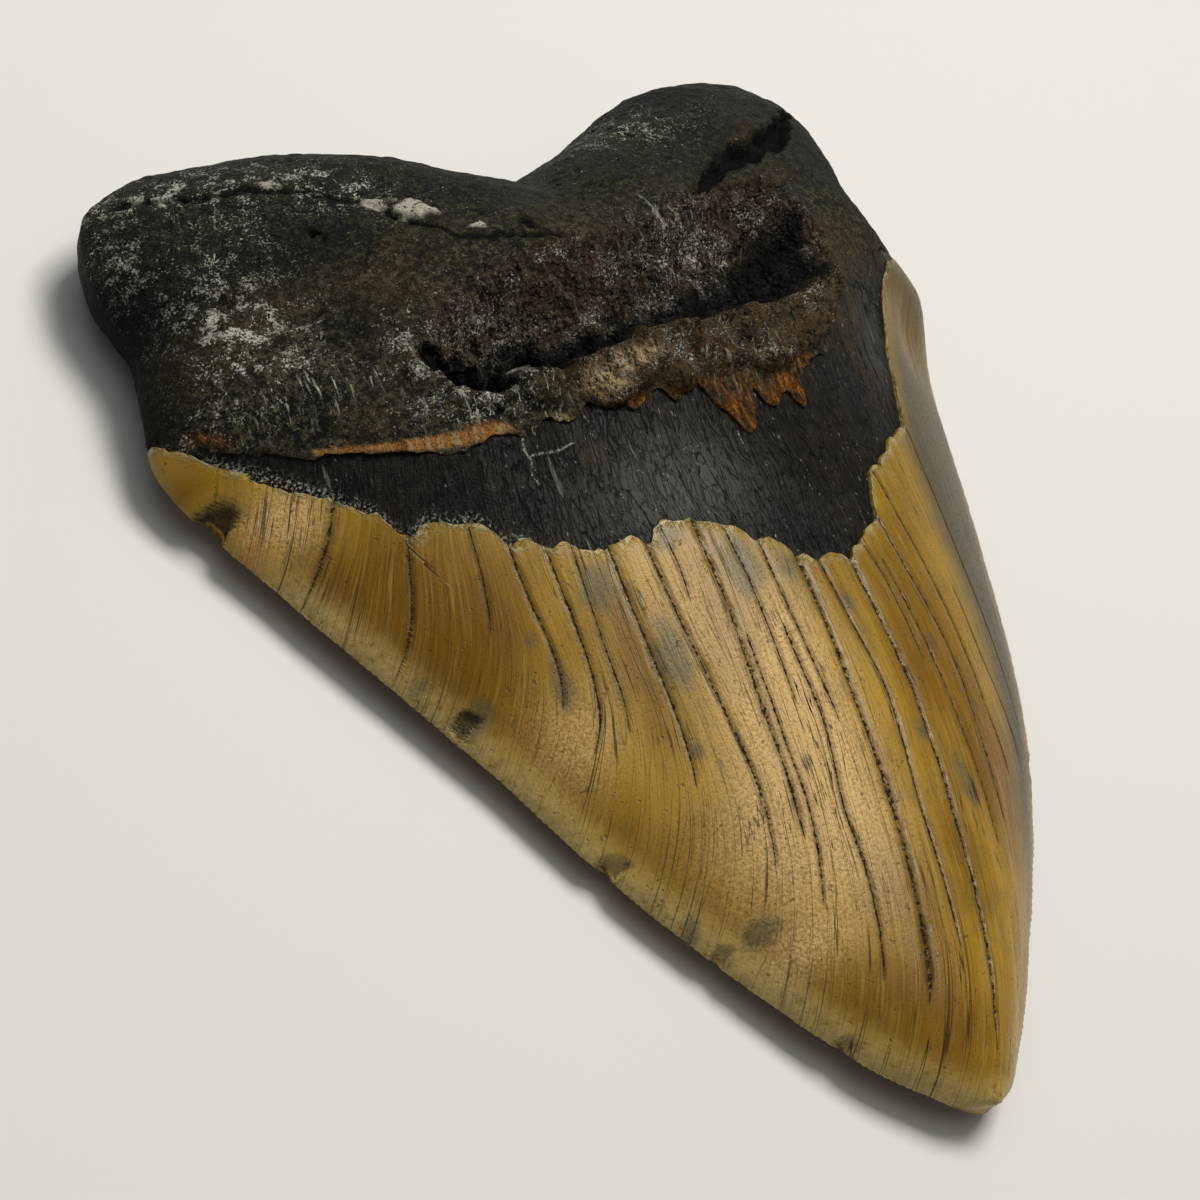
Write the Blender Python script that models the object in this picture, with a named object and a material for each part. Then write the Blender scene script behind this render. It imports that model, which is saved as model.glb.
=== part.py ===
"""A fossil megalodon tooth, lying on its flatter, labial face.

The real tooth is one natural piece: crown, dark basal band and two-lobed root run into each
other, so it is one closed body here too. Metres, +Z up. X runs across the tooth, +Y points
from the tip to the root, and z = 0 is the surface that the tooth lies on. The numbers below
are taken from a point near the middle of the tooth, and ORIGIN moves the finished shape.
"""

import math

import bmesh
import bpy
import numpy as np

NAME = "tooth"
COLLECTION = "megalodon_tooth"

# Mesh density: faces around each cross section, and the share of them on the lingual side
AROUND = 84
LINGUAL_SHARE = 52 / 84
RIM_CROWDING = 0.85  # 0 spreads them evenly, 1 crowds them at the rim as on a circle
CROWN_ROWS = 2  # rows of faces from one crown section to the next
ROOT_ROWS = 3

# Plan of the tooth as sections from tip to notch: (left rim), (middle), (right rim)
TIP = (0.0015, -0.0707)
NOTCH = (-0.0025, 0.0616)
SECTIONS = (
    (TIP, TIP, TIP),
    ((-0.0024, -0.0698), (0.0012, -0.0697), (0.0048, -0.0694)),
    ((-0.0060, -0.0669), (0.0008, -0.0669), (0.0078, -0.0665)),
    ((-0.0109, -0.0619), (0.0006, -0.0619), (0.0121, -0.0619)),
    ((-0.0159, -0.0550), (0.0008, -0.0550), (0.0176, -0.0550)),
    ((-0.0216, -0.0460), (0.0015, -0.0460), (0.0246, -0.0460)),
    ((-0.0274, -0.0360), (0.0020, -0.0360), (0.0314, -0.0360)),
    ((-0.0325, -0.0260), (0.0023, -0.0260), (0.0370, -0.0260)),
    ((-0.0370, -0.0160), (0.0021, -0.0160), (0.0413, -0.0160)),
    ((-0.0422, -0.0060), (0.0012, -0.0060), (0.0446, -0.0060)),
    ((-0.0476, 0.0040), (0.0001, 0.0040), (0.0478, 0.0040)),
    ((-0.0528, 0.0140), (-0.0010, 0.0140), (0.0507, 0.0140)),
    ((-0.0571, 0.0220), (-0.0020, 0.0215), (0.0529, 0.0220)),
    ((-0.0606, 0.0285), (-0.0020, 0.0265), (0.0546, 0.0290)),
    ((-0.0618, 0.0335), (-0.0020, 0.0300), (0.0558, 0.0360)),
    ((-0.0607, 0.0400), (-0.0020, 0.0340), (0.0530, 0.0412)),
    ((-0.0590, 0.0485), (-0.0020, 0.0380), (0.0500, 0.0478)),
    ((-0.0602, 0.0585), (-0.0020, 0.0420), (0.0522, 0.0568)),
    ((-0.0570, 0.0680), (-0.0020, 0.0460), (0.0527, 0.0660)),
    ((-0.0480, 0.0723), (-0.0020, 0.0498), (0.0480, 0.0737)),
    ((-0.0340, 0.0723), (-0.0022, 0.0532), (0.0370, 0.0772)),
    ((-0.0205, 0.0692), (-0.0023, 0.0564), (0.0240, 0.0748)),
    ((-0.0110, 0.0641), (-0.0024, 0.0592), (0.0100, 0.0672)),
    (NOTCH, NOTCH, NOTCH),
)
OUTLINE_STEP = 0.1
ORIGIN = (-0.0030, 0.00325)  # the plan point that becomes the origin: the middle of the outline's box
CROWN_SECTIONS = 13  # so many stretches between sections are crown, and the rest are root

# Heights down the middle of the tooth, as (y, z): lingual crest, rim and labial face
CREST = (
    (-0.0710, 0.0060), (-0.0680, 0.0086), (-0.0620, 0.0114), (-0.0500, 0.0146),
    (-0.0350, 0.0176), (-0.0200, 0.0203), (-0.0050, 0.0228), (0.0100, 0.0254),
    (0.0240, 0.0284), (0.0350, 0.0302), (0.0450, 0.0290), (0.0600, 0.0245), (0.0800, 0.0200),
)
RIM = (
    (-0.0710, 0.0052), (-0.0500, 0.0042), (0.0, 0.0044), (0.0300, 0.0056),
    (0.0420, 0.0080), (0.0550, 0.0095), (0.0800, 0.0095),
)
LABIAL = (
    (-0.0710, 0.0032), (-0.0600, 0.0010), (-0.0400, -0.0003), (-0.0150, 0.0010),
    (0.0100, 0.0022), (0.0300, 0.0026), (0.0450, 0.0012), (0.0580, -0.0003), (0.0800, 0.0012),
)

# Cross sections: the crown is an arch over its width, the root is round along its rim
ARCH_POWER = 2.2
ARCH_SHOULDER = 0.86
LABIAL_POWER = 2.6
ROOT_TOP_ROUND = 0.0120
ROOT_UNDER_ROUND = 0.0090
LOBE_FALL = 0.42
LOBE_REACH = 0.0580
ROOT_MIDDLE_X = 0.0030
CROWN_TO_ROOT = (0.0220, 0.0460)
CROWN_TO_ROOT_UNDER = (0.0260, 0.0460)

# Swells and hollows of the root, as (x, y, reach along x, reach along y, height)
ROOT_SWELLS = (
    (0.0330, 0.0610, 0.0150, 0.0110, 0.0022),  # domed right lobe
    (-0.0420, 0.0600, 0.0160, 0.0070, 0.0014),  # back of the left lobe
    (-0.0430, 0.0410, 0.0110, 0.0080, -0.0014),  # hollow face of the left lobe
    (-0.0030, 0.0560, 0.0080, 0.0110, -0.0026),  # valley that runs in from the notch
    (0.0400, 0.0360, 0.0080, 0.0070, -0.0012),  # dip beside the right shoulder
    (-0.0220, 0.0420, 0.0090, 0.0060, 0.0012),  # swell above the groove's left end
)

# Edge of the enamel on the lingual side, as (x, y): a chevron that points to the tip
ENAMEL_EDGE = (
    (-0.0640, 0.0350), (-0.0550, 0.0268), (-0.0470, 0.0203), (-0.0405, 0.0135),
    (-0.0330, 0.0100), (-0.0270, 0.0050), (-0.0165, 0.0025), (-0.0080, 0.0008),
    (0.0, -0.0026), (0.0100, -0.0056), (0.0160, -0.0014), (0.0213, 0.0055),
    (0.0260, 0.0092), (0.0320, 0.0135), (0.0360, 0.0198), (0.0400, 0.0306),
    (0.0460, 0.0370), (0.0600, 0.0430),
)
ENAMEL_STEP = 0.0006
ENAMEL_STEP_LENGTH = 0.0024

# The torn nutrient groove: a deep recess behind a raised lip of root, as (x, y) of its sides
GROOVE_FRONT = (
    (-0.0350, 0.0300), (-0.0330, 0.0290), (-0.0260, 0.0258), (-0.0180, 0.0250),
    (-0.0100, 0.0250), (-0.0030, 0.0258), (0.0050, 0.0268), (0.0130, 0.0285),
    (0.0210, 0.0305), (0.0280, 0.0330), (0.0310, 0.0360),
)
GROOVE_BACK = (
    (-0.0350, 0.0310), (-0.0310, 0.0330), (-0.0250, 0.0355), (-0.0170, 0.0380),
    (-0.0060, 0.0400), (0.0040, 0.0416), (0.0120, 0.0436), (0.0200, 0.0452),
    (0.0250, 0.0452), (0.0290, 0.0420), (0.0310, 0.0370),
)
GROOVE_DEPTH = (
    (-0.0350, 0.0), (-0.0300, 0.0036), (-0.0240, 0.0052), (-0.0160, 0.0042),
    (-0.0080, 0.0036), (0.0, 0.0044), (0.0080, 0.0058), (0.0160, 0.0070),
    (0.0240, 0.0064), (0.0280, 0.0034), (0.0310, 0.0),
)
GROOVE_FRONT_WALL = 0.0034  # the lip drops steeply
GROOVE_BACK_SLOPE = 0.0110  # the far side climbs gently
LIP = (
    (-0.0360, 0.0), (-0.0260, 0.0003), (-0.0170, 0.0012), (-0.0080, 0.0026),
    (0.0040, 0.0030), (0.0140, 0.0028), (0.0240, 0.0018), (0.0340, 0.0),
)
LIP_FRONT = (
    (-0.0360, 0.0230), (-0.0250, 0.0170), (-0.0160, 0.0185), (-0.0090, 0.0175),
    (0.0, 0.0185), (0.0090, 0.0188), (0.0180, 0.0215), (0.0320, 0.0310),
)
LIP_FRONT_SLOPE = 0.0030
LIP_BACK_SLOPE = 0.0120

# Cracks in the root: points along each as (x, y), its width and its depth
FISSURE = ((0.0165, 0.0490), (0.0234, 0.0531), (0.0302, 0.0570), (0.0372, 0.0610), (0.0440, 0.0650))
FISSURE_WIDTH = 0.0032
FISSURE_DEPTH = 0.0024
CREASE = (
    (-0.0540, 0.0650), (-0.0465, 0.0611), (-0.0353, 0.0580), (-0.0289, 0.0531),
    (-0.0246, 0.0468), (-0.0177, 0.0426), (-0.0098, 0.0418),
)
CREASE_WIDTH = 0.0024
CREASE_DEPTH = 0.0011

# The labial face between the lobes stands a little off the ground
NOTCH_VALLEY_X = -0.0020
NOTCH_VALLEY_REACH = 0.0150
NOTCH_VALLEY_RISE = 0.0022
LOBE_PADS = (0.0400, 0.0520)

# A chip out of the left cutting edge, near its shoulder
CHIP = (-0.0578, 0.0236)
CHIP_REACH = 0.0040
CHIP_DEPTH = 0.0016

# Enamel ends on the labial side along a shallow arc, as (x, y)
LABIAL_ENAMEL_EDGE = ((-0.0640, 0.0340), (-0.0350, 0.0285), (0.0, 0.0250), (0.0330, 0.0290), (0.0600, 0.0380))
LABIAL_STEP = 0.0005

# The look of the plain solid
BASE_COLOUR = (0.165, 0.115, 0.045, 1.0)
ROUGHNESS = 0.45


def curve(t, points):
    """Smooth curve through (t, value) points: cubic Hermite, each slope from the neighbours."""
    knots, values = np.array(points, float).T
    slopes = np.gradient(values, knots)
    t = np.clip(t, knots[0], knots[-1])
    i = np.clip(np.searchsorted(knots, t) - 1, 0, len(knots) - 2)
    step = knots[i + 1] - knots[i]
    s = (t - knots[i]) / step
    start = (1 + 2 * s) * (1 - s) ** 2 * values[i] + s * (1 - s) ** 2 * step * slopes[i]
    end = s * s * (3 - 2 * s) * values[i + 1] - s * s * (1 - s) * step * slopes[i + 1]
    return start + end


def ease(low, high, t):
    """0 below low and 1 above high, with a smooth step between."""
    s = np.clip((t - low) / (high - low), 0, 1)
    return s * s * (3 - 2 * s)


def section_points(places):
    """Left rim, middle and right rim at places counted in sections from the tip."""
    numbered = np.arange(len(SECTIONS))
    table = np.array(SECTIONS)
    points = np.empty((len(places), 3, 2))
    for which in range(3):
        for axis in range(2):
            points[:, which, axis] = curve(places, list(zip(numbered, table[:, which, axis])))
    return points


def rim_outline():
    """The closed plan outline, up the right side from the tip and back down the left."""
    points = section_points(np.arange(0, len(SECTIONS) - 1, OUTLINE_STEP))
    notch = np.array([NOTCH])
    return np.concatenate([points[:, 2], notch, points[:0:-1, 0]])


def distance_to_path(x, y, path, closed=False):
    """Distance from each (x, y) to the nearest stretch of a path of straight runs."""
    points = np.stack([x, y], axis=-1)
    ends = np.roll(path, -1, axis=0) if closed else path[1:]
    nearest = np.full(x.shape, np.inf)
    for start, end in zip(path, ends):
        run = end - start
        share = np.clip(((points - start) @ run) / (run @ run), 0, 1)
        gap = np.linalg.norm(points - start - share[..., None] * run, axis=-1)
        nearest = np.minimum(nearest, gap)
    return nearest


def groove_share(x, y):
    """0 outside the nutrient groove, up to 1 on its floor."""
    behind_front = y - curve(x, GROOVE_FRONT)
    before_back = curve(x, GROOVE_BACK) - y
    return ease(0, GROOVE_FRONT_WALL, behind_front) * ease(0, GROOVE_BACK_SLOPE, before_back)


def cut(x, y, path, width):
    """1 along the middle of a crack, 0 beyond half its width."""
    gap = distance_to_path(x, y, np.array(path))
    return 1 - ease(0, width / 2, gap)


def lingual_height(x, y, u, from_rim):
    """Height of the upper, lingual face: an arched crown that runs into a round-edged root."""
    rim = curve(y, RIM)
    crest = curve(y, CREST)
    crown = rim + (crest - rim) * (1 - np.abs(u) ** ARCH_POWER) ** ARCH_SHOULDER
    crown = crown + ENAMEL_STEP * (1 - ease(0, ENAMEL_STEP_LENGTH, y - curve(x, ENAMEL_EDGE))) * (1 - u * u)
    lobes = crest * (1 - LOBE_FALL * ((x - ROOT_MIDDLE_X) / LOBE_REACH) ** 2)
    for swell_x, swell_y, reach_x, reach_y, height in ROOT_SWELLS:
        lobes = lobes + height * np.exp(-(((x - swell_x) / reach_x) ** 2) - ((y - swell_y) / reach_y) ** 2)
    inward = np.clip(from_rim / ROOT_TOP_ROUND, 0, 1)
    root = rim + (lobes - rim) * np.sqrt(1 - (1 - inward) ** 2)
    share = ease(*CROWN_TO_ROOT, y)
    height = crown * (1 - share) + root * share
    lip_back = ease(0, LIP_BACK_SLOPE, y - curve(x, GROOVE_FRONT) - GROOVE_FRONT_WALL)
    height = height + curve(x, LIP) * ease(0, LIP_FRONT_SLOPE, y - curve(x, LIP_FRONT)) * (1 - lip_back)
    height = height - curve(x, GROOVE_DEPTH) * groove_share(x, y)
    height = height - FISSURE_DEPTH * cut(x, y, FISSURE, FISSURE_WIDTH)
    return height - CREASE_DEPTH * cut(x, y, CREASE, CREASE_WIDTH)


def labial_height(x, y, u, from_rim):
    """Height of the lower, labial face: nearly flat, clamped to z = 0 where the tooth rests."""
    rim = curve(y, RIM)
    face = curve(y, LABIAL)
    crown = face + (rim - face) * np.abs(u) ** LABIAL_POWER
    inward = np.clip(from_rim / ROOT_UNDER_ROUND, 0, 1)
    valley = NOTCH_VALLEY_RISE * np.exp(-(((x - NOTCH_VALLEY_X) / NOTCH_VALLEY_REACH) ** 2))
    root = rim + (face + valley - rim) * np.sqrt(1 - (1 - inward) ** 2)
    share = ease(*CROWN_TO_ROOT_UNDER, y)
    height = crown * (1 - share) + root * share
    behind_enamel = ease(0, ENAMEL_STEP_LENGTH, y - curve(x, LABIAL_ENAMEL_EDGE))
    height = height + LABIAL_STEP * behind_enamel * (1 - ease(*LOBE_PADS, y))
    return np.maximum(height, 0)


def row_places():
    """Where each row lies, counted in sections: close rows over the root, wider ones below."""
    crown = np.linspace(0, CROWN_SECTIONS, CROWN_SECTIONS * CROWN_ROWS, endpoint=False)
    root_sections = len(SECTIONS) - 1 - CROWN_SECTIONS
    root = np.linspace(CROWN_SECTIONS, len(SECTIONS) - 1, root_sections * ROOT_ROWS + 1)
    return np.concatenate([crown, root])


def tooth_surface(directions):
    """Where each direction of a unit sphere lands on the tooth.

    The sphere's poles become the tip and the notch between the lobes, so its rings become
    cross sections. The azimuth runs from the right rim over the lingual face to the left
    rim and back under the labial face. A section's plan is the parabola through its left
    rim, middle and right rim, with u from -1 to 1 across it.
    """
    places = row_places()
    row = np.rint(np.arccos(np.clip(directions[:, 2], -1, 1)) / math.pi * (len(places) - 1))
    left, middle, right = section_points(places[row.astype(int)]).transpose(1, 0, 2)

    turn = np.round(np.arctan2(directions[:, 1], directions[:, 0]) / (2 * math.pi) % 1, 6) % 1
    lingual = turn <= LINGUAL_SHARE
    share = np.where(lingual, turn / LINGUAL_SHARE, (1 - turn) / (1 - LINGUAL_SHARE))
    u = RIM_CROWDING * np.cos(math.pi * share) + (1 - RIM_CROWDING) * (1 - 2 * share)
    side = u[:, None]
    plan = middle + side * (right - left) / 2 + side**2 * ((left + right) / 2 - middle)
    x, y = plan[:, 0], plan[:, 1]

    outline = rim_outline()
    from_rim = distance_to_path(x, y, outline, closed=True)
    height = np.where(
        lingual,
        lingual_height(x, y, u, from_rim),
        labial_height(x, y, u, from_rim),
    )
    at_rim = 1 - np.abs(u) < 1e-6
    height = np.where(at_rim, curve(y, RIM), height)
    chip = np.exp(-(((x - CHIP[0]) / CHIP_REACH) ** 2) - ((y - CHIP[1]) / CHIP_REACH) ** 2)
    return np.stack([x + CHIP_DEPTH * chip - ORIGIN[0], y - ORIGIN[1], height], axis=-1)


def make_material():
    material = bpy.data.materials.new("fossil_enamel")
    material.use_nodes = True
    shader = material.node_tree.nodes["Principled BSDF"]
    shader.inputs["Base Color"].default_value = BASE_COLOUR
    shader.inputs["Roughness"].default_value = ROUGHNESS
    shader.inputs["Metallic"].default_value = 0.0
    return material


def make_tooth(collection):
    shape = bmesh.new()
    rows = len(row_places()) - 1
    bmesh.ops.create_uvsphere(shape, u_segments=AROUND, v_segments=rows, radius=1.0)
    directions = np.array([vertex.co[:] for vertex in shape.verts])
    for vertex, place in zip(shape.verts, tooth_surface(directions)):
        vertex.co = place
    mesh = bpy.data.meshes.new(NAME)
    shape.to_mesh(mesh)
    shape.free()
    mesh.shade_smooth()
    mesh.materials.append(make_material())
    tooth = bpy.data.objects.new(NAME, mesh)
    collection.objects.link(tooth)
    return tooth


def main():
    for leftover in list(bpy.data.objects):
        bpy.data.objects.remove(leftover)
    collection = bpy.data.collections.new(COLLECTION)
    bpy.context.scene.collection.children.link(collection)
    make_tooth(collection)


main()
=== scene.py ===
"""A fossil megalodon tooth lying on its labial face: the look of every surface.

The real tooth is one natural piece. Its outside is made here as three closed skins that meet
where the real tooth changes: the enamel crown, the dark band above it (the bourlette) and the
root. Each skin is a grid of points worked out with numpy. Lengths in the tables and shape
functions are millimetres, in the plan that the tooth was drawn in, with X across the tooth
and +Y from the tip to the root. ORIGIN and MM turn them into the frame's metres.
"""

import math

import bpy
import numpy as np
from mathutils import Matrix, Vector


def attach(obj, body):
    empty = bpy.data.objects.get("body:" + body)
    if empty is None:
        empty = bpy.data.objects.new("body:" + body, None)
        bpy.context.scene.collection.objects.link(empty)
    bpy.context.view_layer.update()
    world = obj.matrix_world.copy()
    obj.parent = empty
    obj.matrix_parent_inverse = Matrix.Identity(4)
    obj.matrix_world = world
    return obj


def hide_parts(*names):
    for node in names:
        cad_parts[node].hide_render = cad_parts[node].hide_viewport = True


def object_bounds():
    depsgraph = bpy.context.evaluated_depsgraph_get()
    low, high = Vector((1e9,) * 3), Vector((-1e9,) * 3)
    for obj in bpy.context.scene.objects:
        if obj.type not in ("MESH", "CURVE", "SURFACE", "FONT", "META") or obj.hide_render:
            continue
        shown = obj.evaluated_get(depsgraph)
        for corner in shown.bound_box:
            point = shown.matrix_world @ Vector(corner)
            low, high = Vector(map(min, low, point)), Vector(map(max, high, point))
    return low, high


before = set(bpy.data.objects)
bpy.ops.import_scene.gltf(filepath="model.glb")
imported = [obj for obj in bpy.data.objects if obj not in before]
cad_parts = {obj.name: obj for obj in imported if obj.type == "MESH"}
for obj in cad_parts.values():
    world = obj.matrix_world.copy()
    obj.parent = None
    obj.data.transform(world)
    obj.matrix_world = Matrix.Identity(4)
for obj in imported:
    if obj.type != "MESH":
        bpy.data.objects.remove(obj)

cad_low, cad_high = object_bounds()

bl_info = {
    "name": "Megalodon tooth",
    "version": (1, 0, 0),
    "blender": (4, 5, 0),
    "location": "View3D > Sidebar > Tooth",
    "description": "Builds a fossil megalodon tooth: enamel crown, bourlette, root and stage",
    "category": "Add Mesh",
}

NODE = "tooth"
BODY = "root"
MM = 0.001

# The plan point, in mm, that lies at the frame's origin
ORIGIN = (-3.0, 3.25)

# Plan of the tooth as sections from tip to notch: (left rim), (middle), (right rim)
TIP = (1.5, -70.7)
NOTCH = (-2.5, 61.6)
SECTIONS = (
    (TIP, TIP, TIP),
    ((-2.4, -69.8), (1.2, -69.7), (4.8, -69.4)),
    ((-6, -66.9), (0.8, -66.9), (7.8, -66.5)),
    ((-10.9, -61.9), (0.6, -61.9), (12.1, -61.9)),
    ((-15.9, -55), (0.8, -55), (17.6, -55)),
    ((-21.6, -46), (1.5, -46), (24.6, -46)),
    ((-27.4, -36), (2, -36), (31.4, -36)),
    ((-32.5, -26), (2.3, -26), (37, -26)),
    ((-37, -16), (2.1, -16), (41.3, -16)),
    ((-42.2, -6), (1.2, -6), (44.6, -6)),
    ((-47.6, 4), (0.1, 4), (47.8, 4)),
    ((-52.8, 14), (-1, 14), (50.7, 14)),
    ((-57.1, 22), (-2, 21.5), (52.9, 22)),
    ((-60.6, 28.5), (-2, 26.5), (54.6, 29)),
    ((-61.8, 33.5), (-2, 30), (55.8, 36)),
    ((-60.7, 40), (-2, 34), (53, 41.2)),
    ((-59, 48.5), (-2, 38), (50, 47.8)),
    ((-60.2, 58.5), (-2, 42), (52.2, 56.8)),
    ((-57, 68), (-2, 46), (52.7, 66)),
    ((-48, 72.3), (-2, 49.8), (48, 73.7)),
    ((-34, 72.3), (-2.2, 53.2), (37, 77.2)),
    ((-20.5, 69.2), (-2.3, 56.4), (24, 74.8)),
    ((-11, 64.1), (-2.4, 59.2), (10, 67.2)),
    (NOTCH, NOTCH, NOTCH),
)
NOTCH_PLACE = len(SECTIONS) - 1.0
RIM_STEP = 0.1
PLACE_SAMPLES = 400

# Heights down the middle of the tooth, as (y, z): lingual crest, rim and labial face
CREST = (
    (-71, 6), (-68, 8.6), (-62, 11.4), (-50, 14.6), (-35, 17.6), (-20, 20.3), (-5, 22.8), (10, 25.4),
    (24, 28.4), (35, 30.2), (45, 29), (60, 24.5), (80, 20),
)
RIM = ((-71, 5.2), (-50, 4.2), (0, 4.4), (30, 5.6), (42, 8), (55, 9.5), (80, 9.5))
LABIAL = (
    (-71, 3.2), (-60, 1), (-40, -0.3), (-15, 1), (10, 2.2), (30, 2.6), (45, 1.2), (58, -0.3), (80, 1.2),
)
ARCH_POWER = 2.2
ARCH_SHOULDER = 0.86
LABIAL_POWER = 2.6
ROOT_TOP_ROUND = 12.0
ROOT_UNDER_ROUND = 9.0
LOBE_FALL = 0.42
LOBE_REACH = 58.0
ROOT_MIDDLE_X = 3.0
CROWN_TO_ROOT = (22.0, 46.0)
CROWN_TO_ROOT_UNDER = (26.0, 46.0)
NOTCH_VALLEY = (-2.0, 15.0, 2.2)  # x, reach and rise of the labial valley between the lobes
LOBE_PADS = (40.0, 52.0)

# Swells and hollows of the root, as (x, y, reach along x, reach along y, height)
ROOT_SWELLS = (
    (33, 61, 15, 11, 2.2), (-42, 60, 16, 7, 1.4), (-43, 41, 11, 8, -1.4), (-3, 56, 8, 11, -2.6),
    (40, 36, 8, 7, -1.2), (-22, 42, 9, 6, 1.2),
)

# Edge of the enamel on the lingual side: scallops between the notches that cracks end in
ENAMEL_EDGE = (
    (-66, 38), (-61.2, 34.2), (-59.3, 31.8), (-56.5, 28.4), (-53.7, 25.9), (-50.4, 23), (-48, 21),
    (-46.5, 19.7), (-44.1, 17), (-42.4, 15.4), (-41.2, 13), (-40.3, 12), (-38.5, 12.7), (-37.2, 12.4),
    (-35.7, 11.4), (-33.4, 10.4), (-32, 9.2), (-30.9, 6.9), (-29.4, 6.9), (-28.1, 5.9), (-27, 4.5),
    (-25.2, 4.5), (-23.4, 2.8), (-21.7, 2.4), (-18.4, 2.6), (-17, 2.3), (-16.1, 1.4), (-14.4, 2.6),
    (-11.1, 2.5), (-7.7, 1.3), (-4.1, -0.4), (-2.4, -2.1), (-1.1, -2.1), (0.5, -2.8), (2, -4.5),
    (3.5, -4.8), (5.3, -5.9), (6.6, -5.2), (8.8, -5.8), (9.8, -6.3), (11.4, -4.5), (13.7, -3.5),
    (16.2, -1.7), (17.8, -0.6), (18.3, 1.1), (19.5, 3.4), (21.2, 5.8), (22.9, 6.2), (24.4, 8.1),
    (26.3, 8.9), (27.8, 10.9), (29.2, 11.1), (31.5, 12.8), (33, 13.7), (34, 16), (35.3, 19.5), (37, 23.5),
    (38.2, 27.3), (39.6, 31.7), (41.5, 34.4), (45, 37.5), (49, 39.3), (54, 41), (60, 43.5),
)
LABIAL_ENAMEL_EDGE = ((-66, 38), (-61.2, 34.2), (-35, 28.5), (0, 25), (33, 29), (54, 41), (60, 43.5))

# Front edge of the root's crust over the bourlette, with the two rusty fringes that hang from it
ROOT_EDGE = (
    (-66, 37), (-61.2, 33.6), (-58.7, 31.6), (-55.5, 29.6), (-52, 27.6), (-47, 24.6), (-41.7, 22.2),
    (-36.3, 19.9), (-33.5, 18.8), (-30.3, 18.7), (-27, 18.4), (-24.8, 17.4), (-22, 18.6), (-18.8, 17.6),
    (-16.6, 19.2), (-14.9, 18.1), (-12.5, 17.8), (-10.9, 16.9), (-9, 18.3), (-7.1, 18.9), (-5.1, 17.4),
    (-2.9, 17.5), (-0.8, 17.8), (0.4, 15.8), (1.6, 13.8), (4.2, 11.8), (5.6, 14), (6.6, 17.4), (7.6, 15.6),
    (9.4, 14.6), (11.4, 16.2), (12.5, 15.7), (13.6, 14.2), (15.6, 18.4), (18, 20.4), (20.1, 21.1),
    (24, 24.2), (27.5, 28.6), (31, 32.5), (36, 35.8), (42, 38.6), (48, 40), (54, 41.3), (60, 43.5),
)

# The torn nutrient groove behind a raised lip of root, as (x, y) of its sides, and its depth
GROOVE_FRONT = (
    (-36, 30), (-33, 27.6), (-30, 25), (-26.6, 23.2), (-22, 24.2), (-17.5, 23.4), (-10, 24.6), (-3, 25.6),
    (5, 26.6), (13, 27.6), (21, 29.8), (28, 32.6), (31, 36),
)
GROOVE_BACK = (
    (-36, 31), (-31, 34.4), (-23, 38.6), (-16.4, 41), (-8, 41.7), (-1, 42.2), (6.3, 45), (14.1, 47.6),
    (20, 47.8), (27.4, 46.6), (29.8, 42.3), (31, 37),
)
GROOVE_DEPTH = (
    (-36, 0), (-33, 3.2), (-28, 5), (-24, 5.6), (-16, 4.6), (-8, 4.4), (0, 5.2), (8, 6.4), (16, 7.6),
    (24, 7), (28, 4.4), (31, 0),
)
GROOVE_FRONT_WALL = 2.4
GROOVE_BACK_SLOPE = 13.0
GROOVE_BREAK = 0.13  # share of the depth that falls at once at the torn edge
LIP = ((-36, 0), (-26, 0.2), (-18.6, 0.3), (-16.6, 1), (-8, 1.4), (4, 1.9), (14, 1.9), (24, 1.4), (34, 0))
LIP_FRONT = (
    (-36, 23), (-25, 18.4), (-17.5, 19.6), (-15, 18.2), (-11, 17.2), (-7, 18.8), (-4, 17.6), (0, 18.6),
    (4, 19.2), (9, 18.9), (18, 21.4), (32, 31),
)
LIP_FRONT_SLOPE = 1.6
LIP_BACK_SLOPE = 12.0

# The broken fissure of the right lobe, as (x, y) along it and its half width at each x
FISSURE = ((16, 47.6), (20, 50.4), (25.5, 52.8), (31.4, 55.1), (36.8, 58.2), (41, 61.8), (45.6, 66.4))
FISSURE_HALF_WIDTH = (
    (15, 0.3), (18, 1.2), (23, 2), (29, 1.9), (34, 2.3), (38, 2), (42, 1.1), (45.6, 0.5), (51, 0.5),
)
FISSURE_DEPTH = 2.8

# The crease across the left lobe and the broken ledge below it, as points along each
CREASE = (
    (-54, 66.4), (-50.5, 65), (-46.5, 62), (-42, 61.2), (-38.5, 59.6), (-34.5, 58.6), (-32.4, 55.8),
    (-28.9, 53.6), (-26.6, 50.4), (-24.4, 47.4), (-22.6, 44.2), (-19.4, 43.4), (-15, 42.6), (-9.8, 42.2),
)
CREASE_WIDTH = 1.5
CREASE_DEPTH = 1.3
LEDGE = ((-55.7, 47.4), (-53.5, 48.7), (-50.9, 46.8), (-49.5, 43.3), (-46.4, 40.8), (-42, 40.4))
LEDGE_WIDTH = 1.4
LEDGE_DEPTH = 0.5
STRIP = ((-47.4, 25.2), (-44, 23.8), (-41.6, 22.8), (-38.8, 21.7), (-35.9, 20.8), (-33, 20), (-26.6, 19.2))
STRIP_HALF_WIDTH = ((-48, 0.25), (-40, 0.45), (-34, 0.75), (-28, 0.8), (-26, 0.2))

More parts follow.
